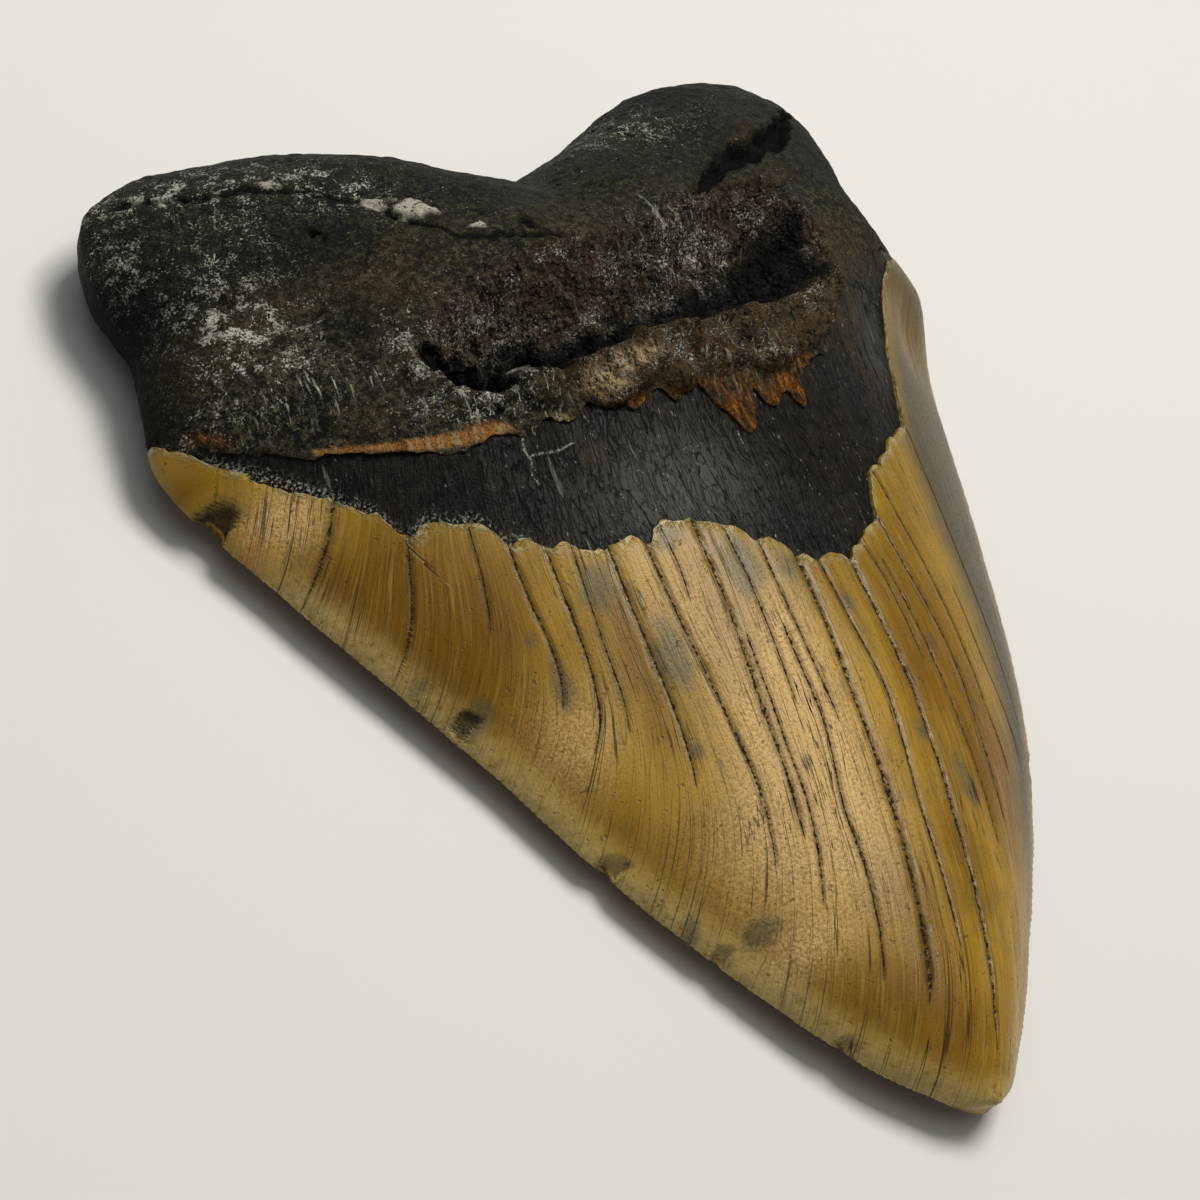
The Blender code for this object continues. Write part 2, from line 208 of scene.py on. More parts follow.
# Flow lines of the enamel, from left to right. Each is (points down the line), then the y
# where its crack opens and closes, the crack's width and how gritty its filling is. A width
# of 0 is a guide only. Their spacing steers every streak and hairline of the crown.
FLOW_LINES = (
    (((-56, 45), (-58, 25), (-66, 10), (-85, -15), (-100, -71)), 0, 0, 0, 0),
    (((-43, 45), (-46.5, 20), (-48, 15.9), (-51.4, 11.2), (-62, 0), (-80, -20), (-98, -71)),
     21, 10, 0.7, 0.9),
    (((-38, 45), (-40.4, 12), (-41.1, 8.9), (-41.6, 5.9), (-42.6, 2.7), (-44.8, -1), (-52, -8), (-68, -25),
     (-90, -71)), 13, -2, 0.5, 0.2),
    (((-35, 45), (-37.4, 13), (-38.4, 8.6), (-39.3, 3), (-41, -3), (-46, -10), (-60, -27), (-85, -71)),
     13, 5, 0, 0),
    (((-32, 45), (-34.3, 11), (-34.6, 3.5), (-35.3, -1.5), (-37.5, -7), (-41.5, -12), (-54, -28),
     (-78, -71)), 11, -3, 0.3, 0.1),
    (((-29, 45), (-31, 7), (-30.6, 0), (-29.9, -6), (-30.1, -11), (-32, -16), (-36, -21), (-46, -32),
     (-70, -71)), 8, -14, 0.4, 0.2),
    (((-25.5, 45), (-27.3, 5), (-26.9, -4), (-26.8, -11), (-27.4, -15.5), (-29, -19), (-33, -26),
     (-41, -36), (-62, -71)), 5, -20, 0.4, 0.1),
    (((-23, 45), (-24.6, 4), (-24.7, -8), (-24.7, -16), (-25.4, -20), (-28, -27.5), (-35, -38),
     (-54, -71)), 2, -20, 0.24, 0),
    (((-19, 45), (-20.6, 2.4), (-20.4, -6), (-20, -14), (-19.9, -20.6), (-20.3, -26), (-22, -33),
     (-27.5, -43), (-44, -71)), 3, -28, 0.48, 0.2),
    (((-14.5, 45), (-16.2, 1.4), (-15.8, -7), (-15.1, -15), (-14.6, -22), (-14.2, -29), (-14.6, -34.5),
     (-16, -41), (-20, -50), (-32, -71)), 3, -40, 0.55, 0.4),
    (((-12.3, 45), (-13.8, 2), (-13.5, -4), (-13.9, -8), (-13.4, -15), (-12.9, -22), (-12.8, -30),
     (-13.3, -35), (-15, -43), (-18, -51), (-28, -71)), 3, -9, 0.26, 0),
    (((-8.5, 45), (-9.6, 1.8), (-9.5, -6), (-9.7, -13), (-10.4, -22), (-10.6, -28), (-10.9, -32),
     (-12, -40), (-14.5, -49), (-18, -58), (-25, -71)), 3, -38, 0.8, 1),
    (((-7.6, 45), (-8.4, 0), (-8.6, -8), (-8.9, -15), (-9.2, -22), (-9.5, -28), (-9.6, -32), (-10.4, -38),
     (-11.8, -43.7), (-14.5, -53), (-20, -68), (-21, -71)), -15, -46, 0.42, 0.2),
    (((-5.5, 45), (-6.1, 0.7), (-5.6, -6), (-5.7, -13), (-6.1, -20), (-6.6, -27), (-7.4, -34), (-8.6, -42),
     (-11, -52), (-16, -65), (-18.5, -71)), 2, -24, 0.36, 0.1),
    (((-3.6, 45), (-3.7, 0), (-3.7, -17), (-3.8, -25), (-4.6, -29.5), (-5.7, -35), (-6.1, -42),
     (-6.9, -48), (-8.3, -54), (-12, -64), (-15, -71)), -15, -56, 0.5, 0.3),
    (((-2, 45), (-2.3, -2), (-2.1, -9), (-1.9, -17), (-1.8, -24), (-2.6, -32), (-3.4, -40), (-4.6, -48),
     (-6.2, -55), (-10, -65), (-12.5, -71)), 0, -27, 0.5, 0.5),
    (((2.4, 45), (2.2, -4.8), (2.1, -14), (1.6, -23), (1.1, -30), (0.5, -36), (-0.4, -42), (-1.8, -49),
     (-3.4, -55.7), (-6, -62), (-10, -71)), -3, -60, 0.95, 1),
    (((4.6, 45), (5, -6.5), (5.8, -15), (6.5, -23), (5.6, -30), (4.6, -35), (3.8, -40.5), (3, -47),
     (1.6, -54.5), (-1, -62), (-5, -71)), -4, -56, 0.38, 0.1),
    (((9.4, 45), (9.9, -6), (10.3, -14), (10.6, -23), (10, -29.5), (9.5, -35), (8.4, -41), (7.6, -46),
     (5.9, -54), (3.4, -62), (0, -71)), -4, -67, 0.7, 0.8),
    (((12.3, 45), (13, -4.5), (14.1, -9), (14.4, -14), (14.5, -20), (13.9, -30), (12.6, -40), (11, -49),
     (8.5, -57), (5, -65), (2, -71)), -2, -22, 0.3, 0.1),
    (((14.6, 45), (15.3, -8), (15.9, -13.5), (16.4, -21), (16.2, -30), (15.6, -38), (13.8, -47), (11, -56),
     (7.5, -64), (4, -71)), -9, -45, 0.4, 0.4),
    (((16.5, 45), (17.8, -1), (18.6, -7), (19.8, -14), (20.2, -23), (19.3, -31.5), (18.3, -38),
     (16.2, -46), (13, -55), (9, -63), (5.5, -71)), 0, -42, 0.42, 0.3),
    (((19.5, 45), (21, 5), (22, -1.4), (23, -9), (23.5, -17), (23.3, -26), (23.2, -34), (21, -41),
     (17.5, -50), (13, -59), (7, -71)), 7, -36, 0.36, 0.2),
    (((25.5, 45), (26, 9), (26.8, -3), (27.2, -12), (27.2, -20), (28, -25), (28.3, -30), (26, -37),
     (22.5, -46), (17, -56), (8.5, -71)), -12, -34, 0.24, 0),
    (((33, 45), (33, 15), (33, 0), (32.6, -15), (32, -26), (29.5, -37), (25.5, -47), (19.5, -57),
     (10.5, -71)), 12, -32, 0.2, 0),
    (((60, 45), (55, 25), (48, 0), (41, -18), (35, -30), (29, -42), (22, -54), (13, -71)), 0, 0, 0, 0),
)
CRACKS = np.array([line[1:] for line in FLOW_LINES], float).T
NOMINAL_Y = -10.0  # the flow lines' spacing at this height gives the millimetres across the flow

# Chips out of the cutting edges, as (x, y, reach, depth into the tooth, how dark)
EDGE_CHIPS = (
    (-58.3, 23.6, 2.5, 1.3, 1), (-39.6, -8.4, 1.3, 0.6, 0.8), (-30.4, -30.1, 1.8, 0.9, 0.15),
    (-22.9, -44.5, 1.6, 0.7, 0.1), (-21.4, -47.6, 1.2, 0.5, 0.1), (-13.4, -58.6, 1.2, 0.5, 0.3),
    (50.6, 8, 2.2, 0.4, 0), (34.8, -31, 1.6, 0.4, 0),
)
SHOULDER_BREAK = (46.5, 29.5, 5.0, 5.0)  # x, y and reaches of the old break on the right shoulder
SHOULDER_BREAK_DEPTH = 1.5
# Line past which the right-hand side is painted in shade, as (y, x) points
LIMB_LINE = (
    (-66, 7), (-52, 17.5), (-42, 21.5), (-32, 24.5), (-22, 27.2), (-10, 28.6), (3, 29.6), (13, 31),
    (20, 34.5), (30, 39.5),
)


def linear(code):
    """An sRGB hex colour, such as "#8A6C3B", as a linear (r, g, b)."""
    values = [int(code[i:i + 2], 16) / 255 for i in (1, 3, 5)]
    return tuple(v / 12.92 if v <= 0.04045 else ((v + 0.055) / 1.055) ** 2.4 for v in values)


def curve(t, points):
    """Smooth curve through (t, value) points: cubic Hermite, each slope from the neighbours."""
    knots, values = np.array(points, float).T
    slopes = np.gradient(values, knots)
    t = np.clip(t, knots[0], knots[-1])
    i = np.clip(np.searchsorted(knots, t) - 1, 0, len(knots) - 2)
    step = knots[i + 1] - knots[i]
    s = (t - knots[i]) / step
    start = (1 + 2 * s) * (1 - s) ** 2 * values[i] + s * (1 - s) ** 2 * step * slopes[i]
    end = s * s * (3 - 2 * s) * values[i + 1] - s * s * (1 - s) * step * slopes[i + 1]
    return start + end


def ease(low, high, t):
    """0 at low and 1 at high, held beyond them, with a smooth step between."""
    s = np.clip((t - low) / (high - low), 0, 1)
    return s * s * (3 - 2 * s)


def mix(a, b, share):
    """a at share 0 and b at share 1."""
    return a + (b - a) * share


def value_noise(points, seed):
    """Smooth noise from -1 to 1: a hashed value at each corner of a unit lattice, blended."""
    cell = np.floor(points).astype(np.int64)
    inside = points - cell
    inside = inside * inside * (3 - 2 * inside)
    total = np.zeros(points.shape[:-1])
    for corner in np.ndindex(2, 2, 2):
        a, b, c = (cell[..., k] + corner[k] for k in range(3))
        mixed = (a * 73856093 ^ b * 19349663 ^ c * 83492791 ^ seed * 2654435761) & 0xFFFFFFFF
        mixed = ((mixed ^ (mixed >> 15)) * 2246822519) & 0xFFFFFFFF
        mixed = ((mixed ^ (mixed >> 13)) * 3266489917) & 0xFFFFFFFF
        share = np.prod([inside[..., k] if corner[k] else 1 - inside[..., k] for k in range(3)], axis=0)
        total += share * (mixed ^ (mixed >> 16)) / 0xFFFFFFFF
    return total * 2 - 1


def fractal(points, size, octaves, seed):
    """Layers of value noise, each half as large and half as strong, within about -1 to 1."""
    total = np.zeros(points.shape[:-1])
    strength = 0.0
    for octave in range(octaves):
        share = 0.5**octave
        total += share * value_noise(points / np.array(size) * 2**octave, seed + 17 * octave)
        strength += share
    return total / strength


def broken(points, seed):
    """Noise in flat steps with steep sides, like the faces of a broken crust."""
    steps = 2.5 * (value_noise(points, seed) + 0.35 * value_noise(points * 2.3, seed + 1))
    below = np.floor(steps)
    return (below + ease(0.3, 0.7, steps - below)) / 2.5


def plan(place, u):
    """Plan position, u from -1 to 1 across a section: the parabola through rim, middle and rim."""
    numbered = np.arange(len(SECTIONS))
    table = np.array(SECTIONS)
    position = []
    for axis in range(2):
        left, middle, right = (
            curve(place, np.stack([numbered, table[:, which, axis]], axis=1)) for which in range(3)
        )
        position.append(middle + u * (right - left) / 2 + u * u * ((left + right) / 2 - middle))
    return position


def rim_outline():
    """The closed plan outline, up the right side from the tip and back down the left."""
    places = np.arange(0, NOTCH_PLACE, RIM_STEP)
    right = np.stack(plan(places, 1.0), axis=1)
    left = np.stack(plan(places, -1.0), axis=1)
    return np.concatenate([right, [NOTCH], left[:0:-1]])


def distance_to_path(x, y, path, closed=False):
    """Distance from each (x, y) to the nearest stretch of a path of straight runs."""
    path = np.array(path, float)
    ends = np.roll(path, -1, axis=0) if closed else path[1:]
    nearest = np.full(x.shape, np.inf)
    for (from_x, from_y), (to_x, to_y) in zip(path, ends):
        run_x, run_y = to_x - from_x, to_y - from_y
        length = run_x * run_x + run_y * run_y
        share = np.clip(((x - from_x) * run_x + (y - from_y) * run_y) / length, 0, 1)
        gap = (x - from_x - share * run_x) ** 2 + (y - from_y - share * run_y) ** 2
        nearest = np.minimum(nearest, gap)
    return np.sqrt(nearest)


def blob(x, y, at_x, at_y, reach_x, reach_y, turn=0.0):
    """A soft round patch: 1 at its middle, falling like a bell along its two reaches."""
    c, s = math.cos(math.radians(turn)), math.sin(math.radians(turn))
    along = (x - at_x) * c + (y - at_y) * s
    across = (y - at_y) * c - (x - at_x) * s
    return np.exp(-((along / reach_x) ** 2) - (across / reach_y) ** 2)


def patches(x, y, table):
    """The sum of a table's blobs."""
    return sum(blob(x, y, *patch) for patch in table)


def lingual_base(x, y, u, from_rim):
    """Upper face without its skins: an arch over the crown that turns into the domed root."""
    rim = curve(y, RIM)
    crest = curve(y, CREST)
    crown = rim + (crest - rim) * (1 - np.abs(u) ** ARCH_POWER) ** ARCH_SHOULDER
    lobes = crest * (1 - LOBE_FALL * ((x - ROOT_MIDDLE_X) / LOBE_REACH) ** 2)
    for swell_x, swell_y, reach_x, reach_y, height in ROOT_SWELLS:
        lobes = lobes + height * blob(x, y, swell_x, swell_y, reach_x, reach_y)
    inward = np.clip(from_rim / ROOT_TOP_ROUND, 0, 1)
    root = rim + (lobes - rim) * np.sqrt(1 - (1 - inward) ** 2)
    height = mix(crown, root, ease(*CROWN_TO_ROOT, y))
    return np.where(1 - np.abs(u) < 1e-9, rim, height)


def labial_base(x, y, u, from_rim):
    """Lower face: nearly flat, with a valley between the lobes."""
    rim = curve(y, RIM)
    face = curve(y, LABIAL)
    crown = face + (rim - face) * np.abs(u) ** LABIAL_POWER
    inward = np.clip(from_rim / ROOT_UNDER_ROUND, 0, 1)
    valley_x, valley_reach, valley_rise = NOTCH_VALLEY
    valley = valley_rise * np.exp(-(((x - valley_x) / valley_reach) ** 2))
    root = rim + (face + valley - rim) * np.sqrt(1 - (1 - inward) ** 2)
    return mix(crown, root, ease(*CROWN_TO_ROOT_UNDER, y))


def place_where(line, u, low, high):
    """The section place where each column u crosses a line given as (x, y), found by halving."""
    low = np.full(u.shape, float(low))
    high = np.full(u.shape, float(high))
    for _ in range(40):
        half = (low + high) / 2
        x, y = plan(half, u)
        beyond = y > line(x)
        high = np.where(beyond, half, high)
        low = np.where(beyond, low, half)
    return (low + high) / 2


def ragged(points, amount, seed):
    """A line through (x, y) points with a fine broken edge of about that many millimetres."""
    def line(x):
        spot = np.stack([x, np.zeros_like(x), np.zeros_like(x)], axis=-1)
        wave = 0.7 * value_noise(spot / 1.7, seed) + 0.5 * value_noise(spot / 0.7, seed + 1)
        return curve(x, points) + amount * wave
    return line


def even_places(count, side, first, last):
    """Section places from first to last whose steps along the line u = side are equally long."""
    places = np.linspace(first, last, PLACE_SAMPLES)
    x, y = plan(places, side)
    run = np.concatenate([[0], np.cumsum(np.hypot(np.diff(x), np.diff(y)))])
    return np.interp(np.linspace(0, run[-1], count + 1), run, places)


def crack_field(x, y):
    """Where each point lies in the flow of the enamel, and the crack nearest to it.

    Returns millimetres across the flow, the phase (a whole number on each flow line), the
    local spacing of the lines, and the width and grit of the nearest crack at this height.
    """
    paths = [sorted((q, p) for p, q in points) for points, *_ in FLOW_LINES]
    lines = [curve(y, path) for path in paths]
    nominal = [float(curve(np.array(NOMINAL_Y), path)) for path in paths]
    phase = np.zeros_like(x)
    across = np.zeros_like(x)
    spacing = np.ones_like(x)
    for i in range(len(lines) - 1):
        gap = lines[i + 1] - lines[i]
        share = np.clip((x - lines[i]) / gap, 0, 1)
        phase += share
        across += share * (nominal[i + 1] - nominal[i])
        spacing = np.where((share > 0) & (share <= 1), gap, spacing)
    nearest = np.rint(phase).astype(int)
    opens, closes, width, grit = CRACKS[:, nearest]
    spot = np.stack([nearest * 5.7, y / 3.2, np.zeros_like(y)], axis=-1)
    swell = 0.95 + 0.3 * value_noise(spot, 5) + 0.25 * value_noise(spot * 3.3, 6)
    length = ease(0, 5, y - closes) * (1 - ease(-0.5, 0.5, y - opens - 2))
    return across, phase, spacing, width * swell * length, grit


def smoothed(values, reach):
    """Runs of values averaged over reach steps each way, with the ends held."""
    before, after = values[..., :1], values[..., -1:]
    padded = np.concatenate([np.repeat(before, reach, -1), values, np.repeat(after, reach, -1)], -1)
    total = np.cumsum(np.concatenate([np.zeros_like(before), padded], -1), -1)
    span = 2 * reach + 1
    return (total[..., span:] - total[..., :-span]) / span


def outward(grid):
    """Unit normals of a grid whose columns close on themselves, averaged by area nearby."""
    along = np.gradient(grid, axis=0)
    around = np.roll(grid, -1, axis=1) - np.roll(grid, 1, axis=1)
    normal = np.cross(along, around)
    for axis in (0, 1):
        normal = np.moveaxis(smoothed(np.moveaxis(normal, axis, -1), 2), -1, axis)
    return normal / np.maximum(np.linalg.norm(normal, axis=-1, keepdims=True), 1e-9)


def closed_skin(name, rings, start, end, attributes, material):
    """A closed mesh from rings of points (rows, columns, 3) and a pole at each end.

    Attributes are name: (rows, columns, 3) arrays, in the points' order. Lengths become
    metres in the frame here.
    """
    rows, columns, _ = rings.shape
    points = np.concatenate([rings.reshape(-1, 3), [start, end]])
    points = (points - [ORIGIN[0], ORIGIN[1], 0]) * MM
    number = np.arange(rows * columns).reshape(rows, columns)
    beside = np.roll(number, -1, axis=1)
    quads = np.stack([number[:-1], number[1:], beside[1:], beside[:-1]], axis=-1).reshape(-1, 4)
    first = np.full(columns, rows * columns)
    fans = np.concatenate([
        np.stack([first, number[0], beside[0]], axis=-1),
        np.stack([number[-1], first + 1, beside[-1]], axis=-1),
    ])
    corners = np.concatenate([quads.ravel(), fans.ravel()]).astype(np.int32)
    sizes = np.concatenate([np.full(len(quads), 4), np.full(len(fans), 3)])
    mesh = bpy.data.meshes.new(name)
    mesh.vertices.add(len(points))
    mesh.vertices.foreach_set("co", points.astype(np.float32).ravel())
    mesh.loops.add(len(corners))
    mesh.loops.foreach_set("vertex_index", corners)
    mesh.polygons.add(len(sizes))
    mesh.polygons.foreach_set("loop_start", np.concatenate([[0], np.cumsum(sizes)[:-1]]).astype(np.int32))
    mesh.update(calc_edges=True)
    mesh.validate()
    for key, values in attributes.items():
        poles = np.stack([values[0].mean(axis=0), values[-1].mean(axis=0)])
        field = np.concatenate([values.reshape(-1, 3), poles]).astype(np.float32)
        mesh.attributes.new(key, "FLOAT_VECTOR", "POINT").data.foreach_set("vector", field.ravel())
    mesh.shade_smooth()
    mesh.set_sharp_from_angle(angle=math.radians(60))
    mesh.materials.append(material)
    piece = bpy.data.objects.new(name, mesh)
    bpy.context.scene.collection.objects.link(piece)
    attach(piece, BODY)
    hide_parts(NODE)


# Mesh density, and how far the skins run on under each other
EDGE_SAMPLES = 1601
ROW_SAMPLES = 641
CROWN_PLACES = (4, 17)  # the sections between which the enamel's edge is looked for
ROOT_PLACES = (4, 19)
ROOT_START = 13.0  # the section from which the root's rows are spaced
CROWN_ROWS = 260
CROWN_TOP_COLUMNS = 262
CROWN_UNDER_COLUMNS = 96
ROOT_ROWS = 238
ROOT_TOP_COLUMNS = 300
ROOT_UNDER_COLUMNS = 100
BAND_ROWS = 560
BAND_TOP_COLUMNS = 130
BAND_UNDER_COLUMNS = 8
BAND_PLACES = (4, 20)
BAND_ENDS = 0.985
BAND_DEPTH = 2.4
TUCK = 2.5
TUCKED_FLOOR = 0.3  # lowest height of what turns inward under a neighbour
ENAMEL_AT_RIM = 0.24
ENAMEL_UNDERNEATH = 0.12
CRUST_HEIGHT = 0.45
CROWN_POLE = (*TIP, 5.4)
CROWN_HEART = (-1.0, 8.0, 13.0)
ROOT_HEART = (-1.0, 38.0, 13.0)
INWARD = (0.86, 0.5)  # from the cutting edges into the tooth, for the left edge


def crowded(u, x, y, extra, count):
    """Columns for each row: equal steps along the row's run, closer where extra is high."""
    step = np.hypot(np.diff(x, axis=1), np.diff(y, axis=1))
    weight = step * (1 + (extra[:, 1:] + extra[:, :-1]) / 2)
    run = np.concatenate([np.zeros((len(x), 1)), np.cumsum(weight, axis=1)], axis=1)
    goals = np.linspace(0, 1, count + 1)
    return np.stack([np.interp(goals * row[-1], row, u) for row in run])


def ragged_blob(spot, at_x, at_y, reach_x, reach_y, turn=0.0):
    """A patch with an uneven outline: a blob cut off where it falls below a noisy level."""
    soft = blob(spot[..., 0], spot[..., 1], at_x, at_y, 1.3 * reach_x, 1.3 * reach_y, turn)
    return ease(0.25, 0.75, soft + 0.22 * fractal(spot, 1.6, 3, 64))


def rim_nearness(x, y, reach):
    """1 at both ends of each row of points, falling over reach."""
    step = np.hypot(np.diff(x, axis=1), np.diff(y, axis=1))
    run = np.concatenate([np.zeros((len(x), 1)), np.cumsum(step, axis=1)], axis=1)
    return np.exp(-((np.minimum(run, run[:, -1:] - run) / reach) ** 2))


def bare_rings(places, top_u, under_count, crowding):
    """The tooth's own surface as whole rings: lingual columns, then labial ones back under it.

    Returns each column's u, which columns are lingual, the distance from the rim, the
    tooth's thickness, the rings and their outward normals.
    """
    turn = np.linspace(0, 1, under_count + 1)[1:-1]
    under_u = crowding * -np.cos(math.pi * turn) + (1 - crowding) * (2 * turn - 1)
    u = np.concatenate([top_u, np.broadcast_to(under_u, (len(top_u), len(under_u)))], axis=1)
    lingual = np.arange(u.shape[1]) < top_u.shape[1]
    x, y = plan(places(u, lingual), u)
    from_rim = distance_to_path(x, y, rim_outline(), closed=True)
    top = lingual_base(x, y, u, from_rim)
    under = labial_base(x, y, u, from_rim)
    rings = np.stack([x, y, np.where(lingual, top, under)], axis=-1)
    return u, lingual, from_rim, top - under, rings, outward(rings)


def inner_rings(rings, normals, thickness, shift):
    """Three rings that turn inward from the rings' open end, never through a thin rim."""
    made = []
    for most, share, slide in ((0.35, 0.2, 0), (0.9, 0.35, 0), (TUCK, 0.45, shift)):
        depth = np.minimum(most, share * thickness)[:, None]
        made.append(rings - normals * depth + np.array([0, slide, 0]))
    made = np.stack(made)
    made[..., 2] = np.maximum(made[..., 2], TUCKED_FLOOR)
    return made


# Colour patches of the enamel, each (x, y, reach along x, reach along y, turn)
GREY_BLOTCHES = (
    (-23.5, -1.5, 1.9, 2.6), (-6, -4.9, 2.2, 3.2), (-18, -12.1, 1.9, 3.6), (-29.9, -9.8, 1, 2.8),
    (12.9, -35.7, 1.3, 3.2), (-18.3, -44.2, 1.9, 1.3), (-24.4, -40.1, 0.7, 1.4), (-19.2, -23.1, 0.8, 1.2),
    (-13.5, 1.2, 1.8, 1.5), (0.4, -6.1, 1.3, 1.6), (-31.6, -4, 0.6, 0.9), (-42.8, -2.6, 0.8, 0.7),
    (6.4, -12, 0.8, 1), (17.4, -18, 0.7, 1.1), (-8, -29, 0.5, 0.9), (-14, -60, 1.6, 0.7),
    (9, -29, 0.7, 1.2), (-38.2, -8.6, 1.6, 1.6),
)
# Worn grainy patches; the ones in the middle of the crown are also a painted highlight
WORN_GRAIN_AND_HIGHLIGHT = (
    (-13, -36, 10, 10), (-9, -22, 5, 8), (-3.5, -14, 4, 9), (-14, -6, 4, 6), (-6, -24, 6, 9),
    (-52.3, 20.6, 4.8, 3, -40), (-51, 20.2, 3.6, 2.4, -40), (-30, -16, 5, 6), (-8, -34, 7, 10),
    (-15, -48, 5, 3),
)
# Brown stains; those low on the right and on the shoulder are painted shade
WARM_STAINS_AND_SHADE = (
    (-44, 9, 5, 8), (-60, 30, 3.6, 4.6), (-49, 12, 3, 4), (-38, 0, 7, 6), (-22, -12, 2.4, 12),
    (-2, -50, 5, 12), (12, -20, 4, 12), (-1, -63, 6, 5), (45.5, 30, 4, 5), (-41.5, 3, 2, 8),
    (5, -8, 1.6, 9), (-36, -2, 5, 9), (-10.5, -16, 1.4, 10), (18, -34, 4, 12), (23, -38, 5, 10),
    (-9, -57, 5, 4), (7.5, -43, 4.5, 9), (20, -16, 6, 14),
)
ORANGE_GRAIN = (-54.2, 19.6, 2.6, 1.6, -40.0)


def edge_damage(spot, from_rim, lingual, serration):
    """What the cutting edges have lost: mm inward, mm down from the face, and the chips' dark."""
    x, y = spot[..., 0], spot[..., 1]
    wear = ease(-0.6, 0.5, value_noise(spot / 7, 61))
    tooth = np.where(np.arange(len(x)) % 2 == 0, 1, -1)[:, None]
    serrated = ease(-69, -64, y) * (1 - ease(24, 29, y)) * np.exp(-((from_rim / 0.7) ** 2))
    inward = serration * tooth * (0.3 + 0.7 * wear) * serrated
    crumbling = fractal(spot, 5, 3, 62) + 0.5 * value_noise(spot / 0.9, 63)
    inward += 0.14 * crumbling * np.exp(-((from_rim / 2) ** 2)) * ease(-70, -66, y)
    scoop = np.zeros_like(x)
    chipped = np.zeros_like(x)
    for chip_x, chip_y, reach, depth, darkness in EDGE_CHIPS:
        torn = blob(x, y, chip_x, chip_y, reach, reach) + 0.25 * value_noise(spot / 1.1, 60)
        inward += depth * ease(0.3, 0.75, torn)
        scoop += 0.8 * depth * ease(0.3, 0.6, torn) * lingual
        chipped = np.maximum(chipped, darkness * ease(0.36, 0.56, torn) * lingual)
    return inward, scoop, chipped


def stacked(fields, rows):
    """Each attribute's three fields as one array, with these of its rows."""
    return {key: np.stack(three, axis=-1)[rows] for key, three in fields.items()}


